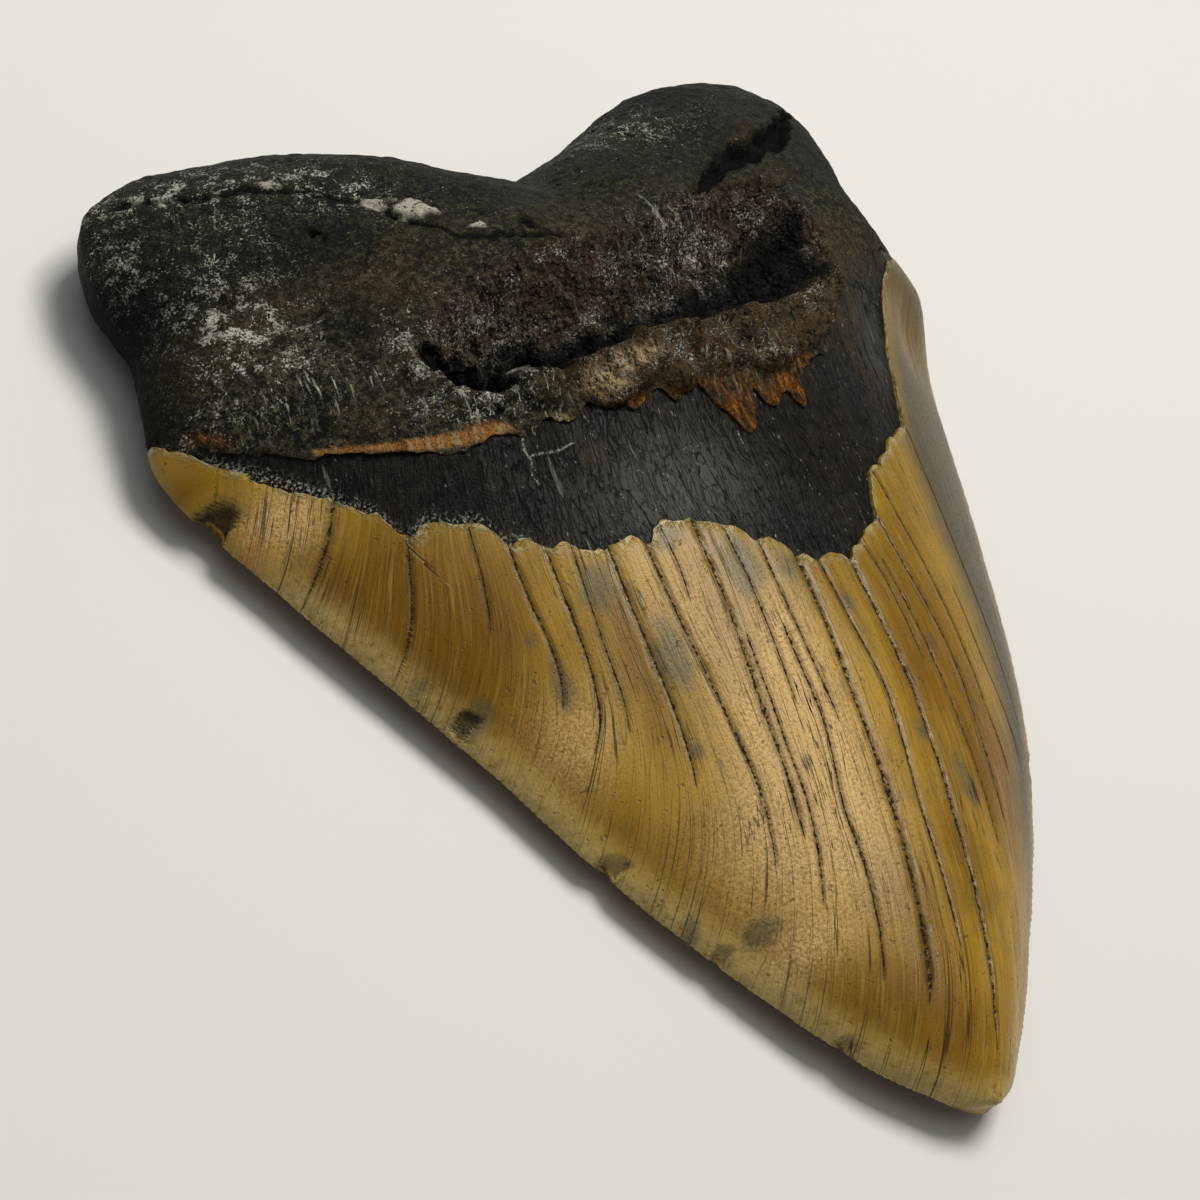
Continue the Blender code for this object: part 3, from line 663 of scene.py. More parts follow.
def crown_rings(sizes):
    """The enamel: rings from the tip's pole to its ragged edge, then inward under it.

    A ring is the curve of one share of the way from tip to enamel edge, around the tooth.
    Its height is the tooth's own plus the enamel's thickness along the outward normal,
    less the cracks, and its cutting edge steps out and in from row to row as serrations.
    """
    edge_u = np.linspace(-1, 1, EDGE_SAMPLES)
    top_edge = place_where(ragged(ENAMEL_EDGE, 0.6, 31), edge_u, *CROWN_PLACES)
    under_edge = place_where(ragged(LABIAL_ENAMEL_EDGE, 0.5, 37), edge_u, *CROWN_PLACES)
    corner = [top_edge[0] - under_edge[0], 0, 0, top_edge[-1] - under_edge[-1]]
    under_edge += np.interp(edge_u, [-1, -0.97, 0.97, 1], corner)
    soft_edge = smoothed(top_edge, 90)
    share = even_places(CROWN_ROWS, -1.0, 0.0, top_edge[0])[1:] / top_edge[0]
    scalloped = ease(0.7, 1.0, share)[:, None]

    def places(u, lingual):
        soft = np.where(lingual, np.interp(u, edge_u, soft_edge), np.interp(u, edge_u, under_edge))
        true = np.where(lingual, np.interp(u, edge_u, top_edge), np.interp(u, edge_u, under_edge))
        return share[:, None] * soft + scalloped * (true - soft)

    u = np.linspace(1, -1, ROW_SAMPLES) * np.ones((len(share), 1))
    x, y = plan(places(u, True), u)
    _, phase, spacing, _, _ = crack_field(x, y)
    nearest = np.rint(phase).astype(int)
    _, closes, widths, _ = CRACKS[:, nearest]
    gap = np.abs(phase - nearest) * spacing
    crowding = ease(0.05, 0.3, widths) * ease(-14, 4, y - closes)
    extra = 2.6 * np.exp(-((gap / 0.5) ** 2)) * crowding + 2.2 * rim_nearness(x, y, 1.6)
    top_u = smoothed(crowded(u[0], x, y, extra, CROWN_TOP_COLUMNS).T, 4).T
    base = bare_rings(places, top_u, CROWN_UNDER_COLUMNS, 0.85)
    u, lingual, from_rim, thickness, rings, normals = base
    x, y = rings[..., 0], rings[..., 1]

    # Underneath lie the same cracks, mirrored and narrower, and a layer of noise of its own
    across, phase, spacing, width, grit = crack_field(np.where(lingual, x, -x - 3.0), y)
    width = width * np.where(lingual, 1, 0.55) * ease(0, 0.8, from_rim + 0.5 * lingual)
    gap = np.abs(phase - np.rint(phase)) * spacing
    layer = np.zeros_like(x) + np.where(lingual, 0.0, 40.0)
    spot = np.stack([x, y, layer], axis=-1)
    wandered = gap + 0.12 * width * value_noise(spot / 0.8, 41)
    opening = np.exp(-((wandered / (0.26 * width + 0.07)) ** 2))
    flow = np.stack([across, y * 0.12, layer], axis=-1)

    skin = mix(ENAMEL_AT_RIM, sizes.enamel_step / MM, 1 - u * u)
    skin = np.where(lingual, skin, ENAMEL_UNDERNEATH)
    skin -= sizes.crack_depth / MM * np.minimum(width, 1) * opening
    skin += 0.09 * fractal(spot, 16, 2, 51) * ease(0, 6, from_rim)
    skin += 0.014 * value_noise(flow / 1.4, 52) * ease(0.5, 3, from_rim)
    skin -= 0.16 * np.exp(-((from_rim - 2.3) ** 2)) * (1 - ease(8, 18, y)) * lingual
    skin -= SHOULDER_BREAK_DEPTH * blob(x, y, *SHOULDER_BREAK) * lingual
    skin -= 0.10 * ease(0.975, 1.0, share)[:, None] ** 3
    inward, scoop, chipped = edge_damage(spot, from_rim, lingual, sizes.serration / MM)
    rings = rings + normals * skin[..., None]
    rings[..., 0] += INWARD[0] * np.where(u > 0, -1, 1) * inward
    rings[..., 1] += INWARD[1] * inward
    rings[..., 2] = np.maximum(rings[..., 2] - scoop, 0)
    rings = np.concatenate([rings, inner_rings(rings[-1], normals[-1], thickness[-1], -1.2)])

    grey = sum(ragged_blob(spot, *patch) for patch in GREY_BLOTCHES)
    left = x < 0
    bevel = np.exp(-((from_rim / 1.9) ** 2)) * lingual * (1 - left * ease(13, 22, y))
    shaded = np.exp(-(((from_rim - 4.4) / 2.2) ** 2)) * left * ease(-62, -50, y) * (1 - ease(2, 14, y))
    # Painted shade: the right-hand side, which turns away from the light, is painted a darker greenish
    # grey, the tint of the cool light it reflects
    limb = ease(-2.0, 4.5, x - curve(y, LIMB_LINE)) * (1 - 0.85 * blob(x, y, *SHOULDER_BREAK))
    crumbs = ease(1.5, 0.1, (1 - share)[:, None] * 95) * lingual * (0.55 + 0.45 * ease(-24, -34, x))
    fields = {
        "flow": (across, y, phase),
        "crack": (spacing, width, grit),
        "tint_a": (grey * lingual, patches(x, y, WORN_GRAIN_AND_HIGHLIGHT) * lingual, bevel),
        "tint_b": (patches(x, y, WARM_STAINS_AND_SHADE), limb, chipped),
        "tint_c": (crumbs, shaded, blob(x, y, *ORANGE_GRAIN)),
    }
    return rings, stacked(fields, [*range(len(x)), -1, -1, -1])


# The bourlette's painted highlight (its shine), its brown stains, painted darker still as
# shade, and its pale curls, each as a strength and a patch
BAND_SHEEN = ((1, (-9, 6.5, 11, 6)), (0.5, (33, 27, 5, 12, 20)))
BAND_BROWN_AND_SHADE = ((1, (12, 9, 10, 8)), (0.6, (-24, 15, 4, 4)))
BAND_CURLS = ((1, (28.3, 24.5, 0.9, 6, 8)), (0.7, (31.5, 29, 0.7, 5, -5)), (1, (-18.7, 13.3, 1, 1.2)))

# Thin white mineral seams on the bourlette
WHITE_SEAMS = (
    ((-25.3, 18.6), (-25.9, 16.2), (-25.4, 14.6), (-25.9, 13.4), (-25.4, 12)),
    ((-25.6, 15.3), (-22, 15), (-19.6, 15.4)),
)


def band_rings(sizes):
    """The bourlette: a flattened tube from left to right that dives under both neighbours.

    Each ring goes from under the enamel's edge over the face to under the root's crust, and
    back through the tooth. Fissures along Y are the zero lines of a noise stretched along Y.
    """
    u = np.linspace(-BAND_ENDS, BAND_ENDS, BAND_ROWS)
    front = place_where(lambda x: curve(x, ENAMEL_EDGE) - TUCK, u, *BAND_PLACES)
    back = place_where(lambda x: curve(x, ROOT_EDGE) + TUCK, u, *BAND_PLACES)
    back = np.maximum(back, front + 0.2)
    forth = np.linspace(0, 1, BAND_TOP_COLUMNS)
    home = np.linspace(1, 0, BAND_UNDER_COLUMNS)
    share = np.concatenate([forth, home])
    inside = np.arange(len(share)) >= BAND_TOP_COLUMNS
    place = front[:, None] + share * (back - front)[:, None]
    u = u[:, None] * np.ones_like(place)
    x, y = plan(place, u)
    from_rim = distance_to_path(x, y, rim_outline(), closed=True)
    top = lingual_base(x, y, u, from_rim)
    thickness = top - labial_base(x, y, u, from_rim)

    spot = np.stack([x, y, np.zeros_like(x)], axis=-1)
    across = crack_field(x, y)[0]
    bend = 0.9 * fractal(spot, 7.0, 2, 71)
    stretched = np.stack([across + bend, y / 4.2, np.zeros_like(x)], axis=-1)
    lines = np.abs(value_noise(stretched / 1.15, 72))
    fine = np.abs(value_noise(stretched / 0.62 + 9.0, 73))
    relief = 1 - ease(0, 0.16, lines) + 0.35 * (1 - ease(0, 0.3, fine))
    relief = -sizes.band_fissure / MM * relief
    relief += 0.06 * fractal(spot, 3.5, 3, 74) + 0.12 * fractal(spot, 14, 2, 75)
    under_enamel = ease(0.1, 0.9, curve(x, ENAMEL_EDGE) - y)
    under_root = ease(0.4, 1.4, y - curve(x, ROOT_EDGE))
    edge = np.minimum(from_rim, 3.0) / 3.0
    sunk = np.minimum(BAND_DEPTH, 0.4 * thickness)
    dive = np.minimum(0.5 * under_enamel + 0.4 * under_root, 0.25 * thickness)
    z = np.where(inside, top - sunk, top + relief * edge - 0.12 * (1 - edge) - dive)
    rings = np.stack([x, y, z], axis=-1)
    # The first is the painted highlight of the bourlette's shine, the second brown stains painted darker
    # still as shade, the third pale curls
    stains = [
        sum(strength * blob(x, y, *patch) for strength, patch in table)
        for table in (BAND_SHEEN, BAND_BROWN_AND_SHADE, BAND_CURLS)
    ]
    seams = [distance_to_path(x + 0.5 * bend, y + 0.4 * bend, path) for path in WHITE_SEAMS]
    seam = 1 - ease(0.03, 0.17, np.minimum(*seams))
    crumbs = np.exp(-(((y - curve(x, ENAMEL_EDGE) - 0.3) / 0.8) ** 2)) * ease(-24, -34, x)
    fields = {
        "flow": (across + bend, y, np.zeros_like(x)),
        "tint_a": stains,
        "tint_b": (blended_side(x, y), seam, crumbs),
    }
    return rings, stacked(fields, slice(None))


def blended_side(x, y):
    """Where root and bourlette pass into each other on the right: 1 at the root's edge."""
    return np.exp(-(((y - curve(x, ROOT_EDGE)) / 3.2) ** 2)) * ease(20, 27, x)


# Patches of the root, each (x, y, reach along x, reach along y, turn)
WHITE_ZONES = (
    (-51, 65.5, 9, 3.4, -25), (-40, 64.5, 11, 5, -12), (-57.5, 56, 3.4, 9), (-50.5, 43.5, 7, 3, -25),
    (-48, 50, 8, 9, 20), (-33, 30, 6, 8), (-26, 24, 6, 5), (-50, 36, 8, 6), (-31, 57, 8, 4, -30),
    (14, 62, 11, 6, 15), (6, 41, 7, 4, 10), (13, 39, 3.5, 6), (14, 31.5, 5, 3, 20), (-59.5, 33.5, 2.4, 2),
    (-14, 22, 3, 3),
)
DEPOSITS = (
    (-28.4, 53.6, 1.7, 0.8, -25, 0.3), (-24.8, 51.2, 2.5, 1.5, -35, 0.42),
    (-19.3, 45.4, 1.3, 0.5, -12, 0.25), (-38.6, 61, 1, 0.4, -10, 0.15), (-50, 63.4, 1, 0.4, -10, 0.15),
    (-22.6, 26.4, 0.45, 0.7, 0, 0.3),
)
BLOCKS = (
    (-21.9, 22.2, 3, 2, -35, 1.5), (-33.6, 27.6, 3.2, 1.6, -40, 0.7), (-27.6, 26.6, 1.5, 0.8, -50, 1.6),
)
SHATTERED = (-24.5, 25.5, 9.0, 4.6, -15.0)
# Painted shade: patches where the root's flanks lie in shade
PAINTED_SHADE_ZONES = (
    (-61.5, 47, 4.5, 10), (-60.5, 36, 3, 5), (-41, 49, 7, 3.5), (-38, 37, 3, 5), (24, 69, 9, 3),
    (44, 50, 4, 10, 10), (-57, 51, 4.5, 7),
)
CRUST_PATCHES = ((30, 57.6, 5, 1.4, 28), (20, 46.4, 6, 1.6, 8), (28, 48.6, 5, 2, 20))
TAN_PATCHES = ((-14.2, 20.6, 2.6, 1.7), (-10, 22.4, 3.6, 1.2, 8), (-20.8, 17.4, 1.2, 1))
RUST_PATCHES = (
    (2.8, 14.4, 3.6, 4.6), (11, 15.8, 3.6, 3.6, 20), (-10, 17.9, 3.4, 0.7), (-3.6, 18.2, 3.6, 1.1),
    (14, 18, 1.8, 2.6, 20), (-57.5, 32, 2.4, 0.6, -35), (-21.5, 17.7, 2, 0.6), (17.5, 21, 2, 1.2, 30),
)
DRIPS = (
    (-29, 25, 5, 6), (-22, 22, 4, 5), (-45, 31, 8, 3), (4, 22, 8, 4, 5), (6, 41, 3, 7), (14, 40, 3, 6),
    (-24.9, 17.4, 1.2, 4),
)
PORES = (
    (-36.9, 52.2, 0.8, 1.6), (-36.2, 50.4, 0.5, 0.7), (-32, 30, 1.9, 2.2), (-25.2, 24.9, 1.7, 2),
    (-30.4, 26.8, 1.1, 1.5), (-20.2, 26.2, 1.9, 1.8), (-17.7, 24.8, 1.4, 1.6), (-11.2, 26.9, 1.3, 1.4),
    (-27, 21.4, 0.8, 0.9), (-12.5, 44.6, 1.4, 0.9), (27, 33, 1.6, 1.4),
)


def torn_groove(spot, on_top):
    """The torn groove: a steep front wall behind the lip and a broken slope at its back.

    Returns where the lip rolls up, the groove's depth in mm, where the root is torn and
    where it is rolled, and how far the groove's front is in the shade.
    """
    x, y = spot[..., 0], spot[..., 1]
    depth = curve(x, GROOVE_DEPTH)
    lip_front = y - curve(x, LIP_FRONT) + 0.9 * value_noise(spot / 2.2, 82)
    lip_back = ease(0, LIP_BACK_SLOPE, y - curve(x, GROOVE_FRONT) - GROOVE_FRONT_WALL)
    lip = ease(0, LIP_FRONT_SLOPE, lip_front) * (1 - lip_back)
    torn_y = y + 2.4 * fractal(spot, 5.5, 4, 83)
    behind = torn_y - curve(x, GROOVE_FRONT)
    from_back = curve(x, GROOVE_BACK) - torn_y
    front_wall = ease(0, GROOVE_FRONT_WALL, behind)
    back = mix(ease(0.4, GROOVE_BACK_SLOPE, from_back), ease(0, 0.7, from_back), GROOVE_BREAK)
    torn = front_wall * ease(-0.6, 2.4, from_back) * ease(0, 3, depth) * on_top
    rolled = lip * (on_top - torn) * ease(0.3, 1.2, curve(x, LIP))
    reach = mix(2.6, 6.0, ease(-2, 24, x)) * (1 + 0.4 * fractal(spot, 4, 2, 103))
    shade = ease(0.5, 2, behind) * (1 - ease(reach, 2.1 * reach, behind)) * ease(2.5, 4.5, depth)
    return lip, depth * front_wall * back, torn, rolled, shade


def root_rings(sizes):
    """The root: rings from its ragged front crust around both lobes to the notch's pole.

    The height is the tooth's own plus the crust, the lip's roll, grains, pores and deposits,
    less the torn groove, the fissure and the crease, all along the outward normal.
    """
    edge_u = np.linspace(-1, 1, EDGE_SAMPLES)
    top_edge = place_where(ragged(ROOT_EDGE, 0.5, 81), edge_u, *ROOT_PLACES)
    under_edge = place_where(lambda x: curve(x, LABIAL_ENAMEL_EDGE) - TUCK, edge_u, *ROOT_PLACES)
    enamel = place_where(lambda x: curve(x, ENAMEL_EDGE), edge_u, *CROWN_PLACES)
    meet = np.interp(edge_u, [-1, -0.98, 0.98, 1], [1, 0, 0, 1])
    top_edge = mix(top_edge, enamel - 0.25, meet)
    under_edge = mix(under_edge, enamel - 0.25, meet)

    share = even_places(ROOT_ROWS, -0.8, ROOT_START, NOTCH_PLACE)[:-1] - ROOT_START
    share /= NOTCH_PLACE - ROOT_START

    def places(u, lingual):
        edge = np.where(lingual, np.interp(u, edge_u, top_edge), np.interp(u, edge_u, under_edge))
        return edge + share[:, None] * (NOTCH_PLACE - edge)

    u = np.linspace(1, -1, ROW_SAMPLES)
    x, y = plan(places(u, True), u)
    top_u = crowded(u, x, y, 1.8 * rim_nearness(x, y, 6.0), ROOT_TOP_COLUMNS)
    base = bare_rings(places, top_u, ROOT_UNDER_COLUMNS, 0.8)
    u, lingual, from_rim, thickness, spot, normals = base
    x, y = spot[..., 0], spot[..., 1]
    on_top = ease(0, 6, from_rim) * lingual

    lip, groove, torn, rolled, shade = torn_groove(spot, on_top)

    # Fissure, crease and ledge along lines that wander
    rough_x = x + 0.5 * value_noise(spot / 1.5, 84) + 0.35 * value_noise(spot / 0.8, 80)
    rough_y = y + 0.5 * value_noise(spot / 1.5, 85) + 0.35 * value_noise(spot / 0.8, 79)
    fissure = distance_to_path(rough_x, rough_y, FISSURE) / curve(x, FISSURE_HALF_WIDTH)
    fissure = 1 - ease(0.45, 1.0, fissure + 0.5 * fractal(spot, 2.6, 4, 78))
    crease = 1 - ease(0, CREASE_WIDTH / 2, distance_to_path(rough_x, rough_y, CREASE))
    ledge = 1 - ease(0, LEDGE_WIDTH, distance_to_path(rough_x, rough_y, LEDGE))
    crusted = patches(x, y, CRUST_PATCHES) + 0.3 * fractal(spot, 2.2, 3, 77)
    crusted = ease(0.3, 0.7, crusted) * on_top

    blended = blended_side(x, y)
    crust = CRUST_HEIGHT * ease(0, 1.6, y - curve(x, ROOT_EDGE) + 1.2) * (1 - 0.9 * blended)
    step = sizes.labial_step / MM * ease(0, 5, from_rim) * (1 - ease(*LOBE_PADS, y))
    height = np.where(lingual, crust * ease(0, 5, from_rim), -step)
    crest = curve(x, LIP) * (0.9 + 0.45 * fractal(spot, 3.2, 2, 104)) * sizes.lip_height / MM / 3
    height += on_top * (crest * lip - groove - LEDGE_DEPTH * ledge)
    height -= on_top * FISSURE_DEPTH * fissure * (0.8 + 0.4 * broken(spot / 2.5, 86))
    height -= on_top * CREASE_DEPTH * crease * (0.6 + 0.6 * value_noise(spot / 4, 86))
    height += crusted * (0.2 + 0.7 * broken(spot / 1.6, 76))
    for *patch, rise in BLOCKS:
        height += on_top * rise * ease(0.34, 0.5, blob(rough_x, rough_y, *patch))
    pit = np.zeros_like(x)
    for pore_x, pore_y, reach, depth in PORES:
        pore = blob(rough_x, rough_y, pore_x, pore_y, reach, reach) + 0.3 * fractal(spot, 2, 3, 75)
        pore = ease(0.3, 0.7, pore)
        height -= on_top * depth * pore
        pit = np.maximum(pit, pore)
    deposit = np.zeros_like(x)
    for *patch, rise in DEPOSITS:
        lump = blob(rough_x, rough_y, *patch)
        lump = ease(0.3, 0.5, lump + 0.45 * fractal(spot, 1.6, 3, 102) * ease(0, 0.2, lump))
        deposit = np.maximum(deposit, lump)
        height += rise * lump * lingual

    # Breaks in steps and flutes down the slopes: where, how high in mm, and the noise
    shattered = blob(x, y, *SHATTERED) * on_top
    low = (1 - ease(26, 38, y)) * on_top
    flute = spot / np.array([1.5, 6, 6])
    for where, rise, noise, points, seed in (
        (shattered, 1.3, broken, spot / 2.4, 99), (shattered, 0.7, broken, spot / 1.1, 100),
        (torn, 0.8, broken, spot / 3, 89), (torn, 0.5, broken, spot / 1.3, 90),
        (torn, 0.7, value_noise, flute, 96), (torn, 0.45, value_noise, flute * 2.1, 97),
        (rolled, 0.9, broken, spot / 2.2, 91), (rolled, 0.8, broken, spot / 1.1, 95),
        (rolled, 0.6, value_noise, flute * 1.3, 98), (rolled, 0.6, broken, flute * 0.8, 101),
        (low, 0.16, value_noise, spot / np.array([0.75, 6, 6]), 92),
    ):
        height += where * rise * noise(points, seed)
    settled = np.where(lingual, 1, 0.5 * ease(0, 1.2, spot[..., 2]))
    grains = 1.6 * fractal(spot, 8, 3, 87) + 0.9 * fractal(spot, 1.7, 3, 88)
    holes = ease(0.45, 0.75, value_noise(spot / 1.25, 93)) * ease(-0.2, 0.5, value_noise(spot / 9, 94))
    height += settled * sizes.root_grain / MM * grains
    height -= settled * 0.4 * holes * ease(0, 2.5, from_rim + 2.5 * lingual)
    rings = spot + normals * height[..., None]
    rings[..., 2] = np.maximum(rings[..., 2], 0)
    wall = inner_rings(rings[0], normals[0], thickness[0], 1.2)
    rings = np.concatenate([wall[::-1], rings])

    tan = sum(ragged_blob(spot, *patch) for patch in TAN_PATCHES)
    rust = patches(x, y, RUST_PATCHES) * (1 - 0.6 * rolled)
    strip = 1 - ease(0.7, 1.2, distance_to_path(x, y, STRIP) / curve(x, STRIP_HALF_WIDTH))
    # Painted shade: the groove's shaded front, the pores, the fissure, the crease and the shaded zones, as
    # one mask
    dark = np.max([shade, pit, fissure, 0.9 * crease], axis=0) * on_top
    dark = np.maximum(dark, 0.5 * patches(x, y, PAINTED_SHADE_ZONES))
    rolled = np.maximum(rolled, 0.35 * crusted * (1 - fissure))
    fields = {
        "tint_a": (patches(x, y, WHITE_ZONES) * lingual, tan * lingual, rust * lingual),
        # The second value marks the lobes' backs, painted darker and in the cool grey of the rim light
        # they reflect
        "tint_b": (dark, ease(42, 52, y), deposit * lingual),
        "tint_c": (torn, strip * lingual, patches(x, y, DRIPS) * lingual),
        "tint_d": (rolled, blended * lingual, crease * on_top),
    }
    return rings, stacked(fields, [0, 0, 0, *range(len(x))])


def add_node(tree, kind, inputs, output=0, **settings):
    """Adds a shader node with its settings, values and links, and returns one of its outputs."""
    node = tree.nodes.new("ShaderNode" + kind)
    for key, value in settings.items():
        setattr(node, key, value)
    for key, value in inputs.items() if isinstance(inputs, dict) else enumerate(inputs):
        if isinstance(value, bpy.types.NodeSocket):
            tree.links.new(value, node.inputs[key])
        else:
            node.inputs[key].default_value = value
    return node.outputs[output]


def start_material(name, specular, ior):
    """A node material, its tree, its Principled shader and the place in millimetres."""
    material = bpy.data.materials.new(name)
    material.use_nodes = True
    tree = material.node_tree
    shader = tree.nodes["Principled BSDF"]
    shader.inputs["Specular IOR Level"].default_value = specular
    shader.inputs["IOR"].default_value = ior
    place = add_node(tree, "TexCoord", {}, "Object")
    mm = add_node(tree, "VectorMath", {0: place, "Scale": 1 / MM}, operation="SCALE")
    return material, tree, shader, mm


def field(tree, name):
    """One of the skin's attributes: the whole of it, then its three numbers."""
    vector = add_node(tree, "Attribute", {}, "Vector", attribute_name=name)
    return vector, *add_node(tree, "SeparateXYZ", (vector,)).node.outputs


def pattern(tree, vector, per_mm, detail, stretch=(1, 1, 1), shift=(0, 0, 0), rough=0.6):
    """A random pattern of that many features to a millimetre, drawn out where stretch is below 1."""
    if (stretch, shift) != ((1, 1, 1), (0, 0, 0)):
        vector = add_node(tree, "Mapping", {"Vector": vector, "Scale": stretch, "Location": shift})
    values = {"Vector": vector, "Scale": per_mm, "Detail": detail, "Roughness": rough}
    return add_node(tree, "TexNoise", values, "Fac")


def product(tree, *factors):
    """Factors multiplied together. A factor is a number, a value, or a smooth step of a value.

    A step is (value, low, high): 0 up to low and 1 from high on, or the two numbers that follow.
    """
    made = None
    for factor in factors:
        if isinstance(factor, tuple):
            ends = factor[3:] or (0, 1)
            factor = add_node(tree, "MapRange", factor[:3] + ends, interpolation_type="SMOOTHSTEP")
        made = factor if made is None else add_node(tree, "Math", (made, factor), operation="MULTIPLY")
    return made


def total(tree, *terms):
    """Terms added together. A term in brackets is the product of its factors."""
    made = None
    for term in terms:
        term = product(tree, *term) if isinstance(term, tuple) else term
        made = term if made is None else add_node(tree, "Math", (made, term), operation="ADD")
    return made


def layered(tree, colour, *layers):
    """A colour under layers of others. Each layer is a colour and the factors of its share."""
    for tint, *factors in layers:
        under, tint = (c if isinstance(c, bpy.types.NodeSocket) else (*c, 1) for c in (colour, tint))
        share = product(tree, *factors)
        colour = add_node(tree, "Mix", {0: share, 6: under, 7: tint}, 2, data_type="RGBA")
    return colour


def hairlines(tree, vector, per_mm, length, thin, shift):
    """Fine lines: where a pattern drawn out along Y passes its middle value."""
    waves = pattern(tree, vector, per_mm, 1.5, (1, length, 0), shift)
    gap = add_node(tree, "Math", (total(tree, waves, -0.5),), operation="ABSOLUTE")
    return product(tree, (gap, 0.25 * thin, thin, 1, 0))


def finish_surface(tree, shader, colour, roughness, relief):
    """Links colour, roughness and a relief given in millimetres."""
    bump = add_node(tree, "Bump", {"Height": relief, "Strength": 0.9, "Distance": MM})
    for key, value in (("Base Color", colour), ("Roughness", roughness), ("Normal", bump)):
        tree.links.new(value, shader.inputs[key])


def enamel_material(colours):
    """Fossil enamel: hard and satin, grown in fibres, stained by the ground and cracked.

    To the eye: a soft gloss over ochre that changes along the flow lines, dark open cracks
    with mineral grit in them, grey blotches, grainy worn patches with a painted highlight
    down the middle of the crown, and painted shade on the right-hand side, by the left bevel,
    low on the right and on the shoulder.
    """
    material, tree, shader, mm = start_material("fossil_enamel", 0.22, 1.6)
    flow, _, _, phase = field(tree, "flow")
    _, spacing, width, grit = field(tree, "crack")
    _, grey, pale, bevel = field(tree, "tint_a")
    _, stain_and_shade, limb, chips = field(tree, "tint_b")
    _, crumbs, shaded, orange = field(tree, "tint_c")

    # Fibres 1 mm wide and twenty times as long, clouds of 20 mm, grain of 0.4 mm, pits, and
    # hairlines, which are drawn coarser than the real ones so that they show
    streak = pattern(tree, flow, 0.75, 5, (1, 0.05, 0), rough=0.66)
    fine_streak = pattern(tree, flow, 2.4, 3, (1, 0.05, 0), (2, 8, 1))
    cloud = pattern(tree, mm, 0.055, 4)
    olive = pattern(tree, mm, 0.11, 4, shift=(4, 2, 0))
    grain = pattern(tree, mm, 2.6, 3, rough=0.65)
    coarse = pattern(tree, mm, 0.9, 4, rough=0.7)
    pit = product(tree, (pattern(tree, mm, 1.15, 2, shift=(3, 1, 0)), 0.665, 0.73))
    faded = (pattern(tree, mm, 0.1, 2), 0.36, 0.56)
    hair = product(tree, hairlines(tree, flow, 0.85, 0.022, 0.01, (7, 3, 5)), faded)
    worn_hair = hairlines(tree, flow, 1.5, 0.03, 0.012, (1, 5, 2))
    worn_hair = product(tree, worn_hair, total(tree, (pale, 0.5), 0.3))
    hair = add_node(tree, "Math", (hair, worn_hair), operation="MAXIMUM")
    hair = product(tree, hair, (spacing, 1, 2))
    crumbs = product(tree, crumbs, (coarse, 0.44, 0.54, 0, 0.95))

    # Distance in mm to the nearest crack's line, roughened, and what it makes dark
    line = add_node(tree, "Math", (phase,), operation="ROUND")
    off_line = add_node(tree, "Math", (total(tree, phase, (line, -1)),), operation="ABSOLUTE")
    rough_edge = (pattern(tree, mm, 1.5, 4, rough=0.7), 0.3, 0.7, -0.24, 0.24)
    gap = total(tree, (off_line, spacing), (width, rough_edge))
    inner = product(tree, width, 0.09)
    outer = total(tree, (width, 0.17), 0.035)
    stained = total(tree, (width, 1.1), 0.3)
    is_open = (width, 0.03, 0.14)
    core = product(tree, (gap, inner, outer, 1, 0), is_open, (coarse, 0.34, 0.46, 0.45, 1))
    stain = product(tree, (gap, outer, stained, 0.5, 0), is_open)
    fill = product(tree, (pattern(tree, mm, 2.2, 3, rough=0.7), 0.5, 0.62), grit, core)

    # From the widest change to the finest
    colour = layered(
        tree, colours.enamel_ochre,
        (colours.enamel_gold, (cloud, 0.36, 0.64)),
        (colours.enamel_olive, (olive, 0.48, 0.68, 0, 0.7)),
        # Brown stains, partly painted shade low on the right and on the shoulder
        (colours.enamel_amber, stain_and_shade, 0.78),
        (colours.enamel_pale, (streak, 0.47, 0.75, 0, 0.45), (spacing, 2, 5, 1, 0.5)),
        (colours.enamel_amber, (streak, 0.28, 0.46, 0.35, 0)),
        (colours.enamel_amber, shaded, 0.5),
        (colours.enamel_pale, (fine_streak, 0.5, 0.7, 0, 0.25)),
        # Painted shade and painted reflection of the right-hand side
        (colours.enamel_limb_painted_shade, limb, 0.9),
        # Worn grain, and a painted highlight down the crown's middle
        (colours.enamel_worn_and_highlight, (grain, 0.4, 0.62, 0.35, 1), pale, 0.85),
        (colours.enamel_edge, bevel, (coarse, 0.3, 0.65, 0.45, 1)),
        (colours.crack_stain, bevel, (coarse, 0.3, 0.41, 0.6, 0)),
        (colours.enamel_orange, orange, (coarse, 0.42, 0.56), 0.7),
        (colours.enamel_grey, grey, (grain, 0.3, 0.6, 0.75, 0.5)),
        (colours.chip_brown, chips, (grain, 0.3, 0.6, 1, 0.8)),
        (colours.crack_stain, pit, 0.55),
        (colours.crack_stain, (grain, 0.28, 0.42, 0.35, 0)),
        (colours.crack_dark, hair, 0.75),
        (colours.crack_stain, stain),
        (colours.crack_dark, core),
        (colours.grit, fill),
        (colours.enamel_crumbs, crumbs),
    )
    roughness = total(tree, ((grain, 0.35, 0.65, 0.26, 0.4),), (pale, 0.12), (core, 0.5), (limb, 0.08))
    relief = total(
        tree, (grain, total(tree, (pale, 0.11), 0.04)), (streak, 0.045), (fine_streak, 0.03),
        (hair, -0.07), (pit, -0.06), (core, -0.3), (fill, 0.2), (crumbs, 0.25), (bevel, coarse, 0.2),
        (chips, coarse, 1.2),
    )
    finish_surface(tree, shader, colour, roughness, relief)
    return material


